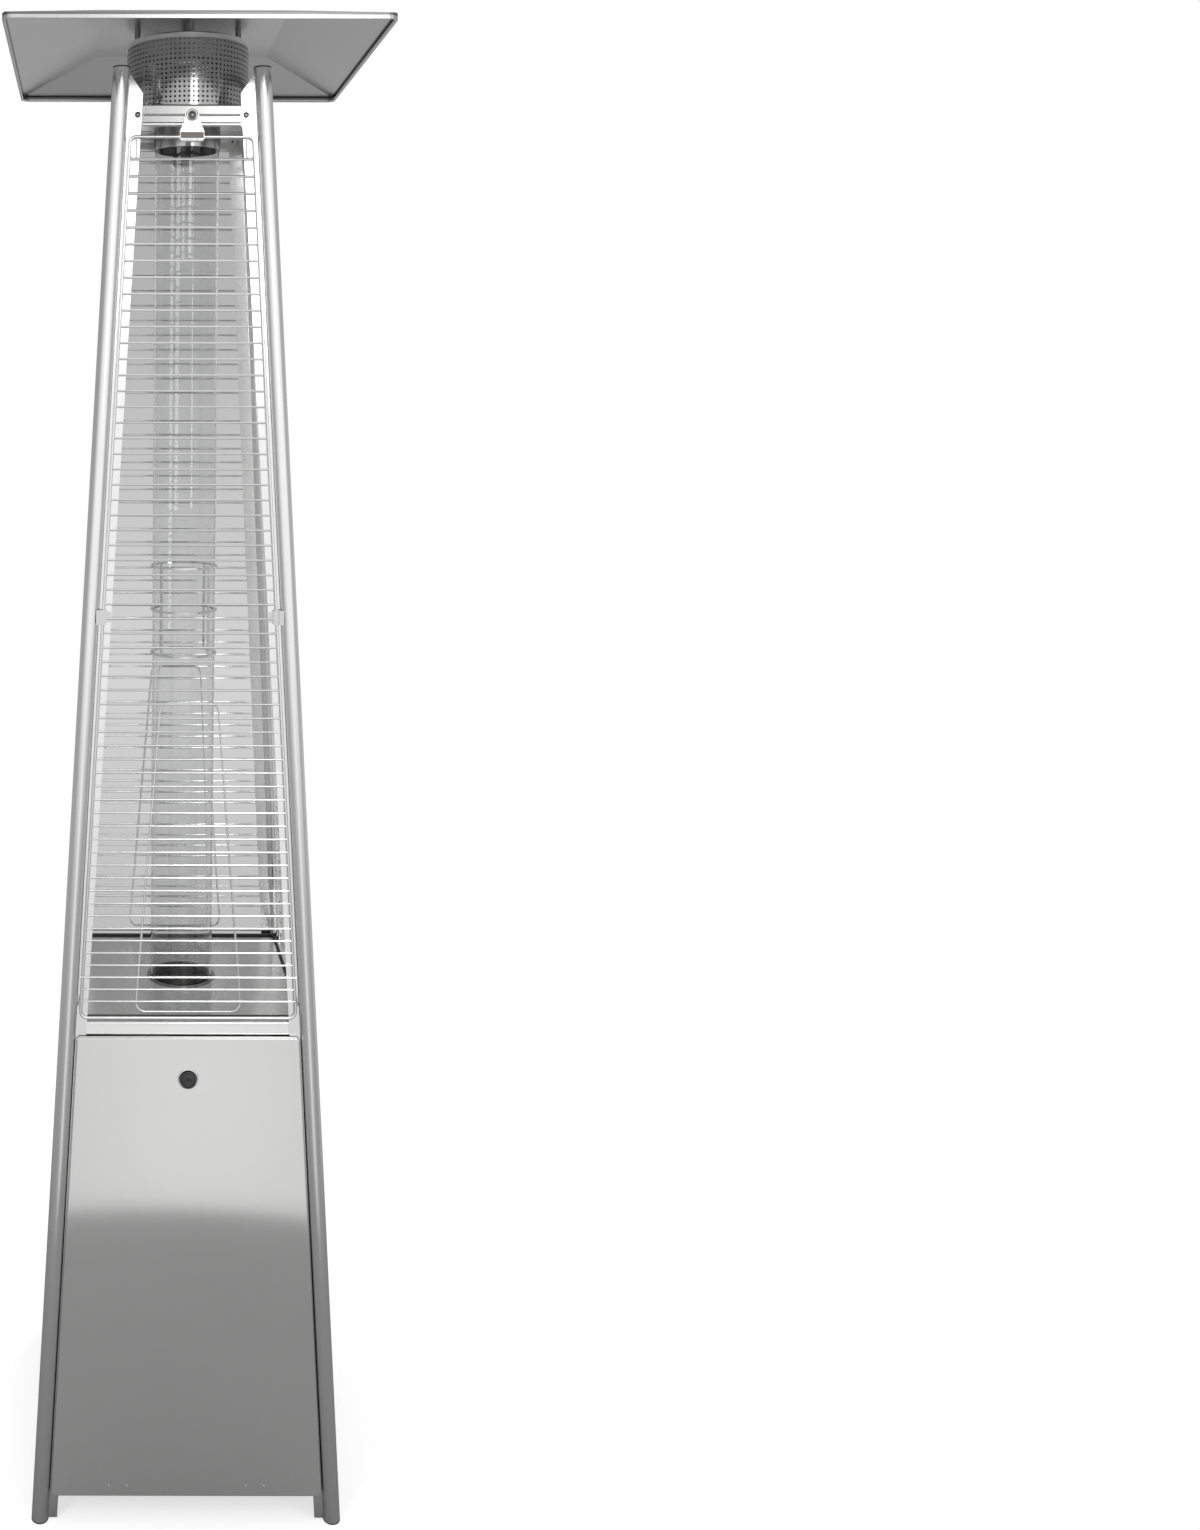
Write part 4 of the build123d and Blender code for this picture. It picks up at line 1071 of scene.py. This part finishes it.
def studio_world():
    """White backdrop, grey where it is seen through the veil; in reflections a studio.

    The studio's greys go by height in front and behind, and across it at the sides.
    """
    world = bpy.data.worlds.new("studio")
    bpy.context.scene.world = world
    world.use_nodes = True
    nodes, links = world.node_tree.nodes, world.node_tree.links
    nodes.clear()
    x, y, z = coordinates(nodes, links, "Generated")
    path = nodes.new("ShaderNodeLightPath")
    through = calc(nodes, links, "GREATER_THAN", path.outputs["Transparent Depth"], 0.5)
    grey = greys(nodes, links, z, *THROUGH_REACH, THROUGH_GREYS)
    seen = blended(nodes, links, through, 1.0, grey)
    front = greys(nodes, links, z, -1.0, 1.0, FRONT_GREYS)
    level = greys(nodes, links, z, NARROW_BELOW, BROAD_ABOVE, EVEN_RISE)
    broad = greys(nodes, links, x, -1.0, 1.0, SIDE_GREYS)
    narrow = greys(nodes, links, x, -1.0, 1.0, LOW_SIDE_GREYS)
    sides = blended(nodes, links, level, narrow, broad)
    front = blended(nodes, links, sides, ROOM_SIDE, front)
    behind = greys(nodes, links, y, -BEHIND, BEHIND, EVEN_RISE)
    back = greys(nodes, links, z, -1.0, 1.0, BACK_GREYS)
    back = shaded(nodes, links, back, greys(nodes, links, x, -1.0, 1.0, BACK_ACROSS))
    room = blended(nodes, links, behind, front, back)
    clear = calc(
        nodes, links, "MAXIMUM", path.outputs["Is Camera Ray"], path.outputs["Is Transmission Ray"]
    )
    light = blended(nodes, links, path.outputs["Is Glossy Ray"], ROOM_SOFT, room)
    shown = nodes.new("ShaderNodeBackground")
    links.new(blended(nodes, links, clear, light, seen), shown.inputs["Color"])
    output = nodes.new("ShaderNodeOutputWorld")
    links.new(shown.outputs["Background"], output.inputs["Surface"])


def lamp(name, place, target, width, height, power, mirrored=False):
    """Soft rectangular lamp, not seen by the camera itself."""
    light = bpy.data.lights.new(name, "AREA")
    light.shape = "RECTANGLE"
    light.size = width
    light.size_y = height
    light.energy = power
    item = bpy.data.objects.new(name, light)
    item.location = place
    item.rotation_euler = (Vector(target) - Vector(place)).to_track_quat("-Z", "Y").to_euler()
    item.visible_camera = False
    item.visible_glossy = mirrored
    bpy.context.scene.collection.objects.link(item)


def lamps():
    """Plain soft light from the left, the right and above; only the strip shows in the metal."""
    lamp("key", (-1.9, -2.6, 2.4), (0, 0, 1.2), 1.0, 2.4, 38)
    lamp("fill", (2.4, -1.8, 1.8), (0, 0, 1.1), 0.8, 2.0, 18)
    lamp("top", (0.0, 0.4, 3.6), (0, 0, 0.8), 1.6, 1.6, 16)
    lamp("strip", (0.5, -3.2, 2.75), (0, 0, 2.1), 0.6, 1.0, 7, mirrored=True)


def camera():
    """The photograph's viewpoint: level with the guards, the heater at the left of a wider view."""
    width, height = PHOTO_SIZE
    focal = PHOTO_FOCAL
    axis_x, axis_y = PHOTO_AXIS
    data = bpy.data.cameras.new("camera")
    data.sensor_fit = "VERTICAL"
    data.sensor_height = 36
    data.lens = focal / height * data.sensor_height
    data.shift_x = (width / 2 - axis_x) / height
    data.shift_y = -(height / 2 - axis_y) / height
    item = bpy.data.objects.new("camera", data)
    item.location = CAMERA_PLACE
    turn = Matrix.Rotation(pi / 2 - CAMERA_PITCH, 3, "X") @ Matrix.Rotation(CAMERA_ROLL, 3, "Z")
    item.rotation_euler = turn.to_euler()
    bpy.context.scene.collection.objects.link(item)
    bpy.context.scene.camera = item


dress_frame()
for name in SIDES:
    guard(name)
perforated_drum()
reflector_hem()
latch_trim()
pan_lips()
deck_shadow_cord()
glass_tube("glass_lower", "glass_tube_lower")
glass_tube("glass_upper", "glass_tube_upper")
control_knob()
knob_bezel()
screws()
floor()
veil()
studio_world()
lamps()
camera()
bpy.context.scene.view_settings.view_transform = "Standard"
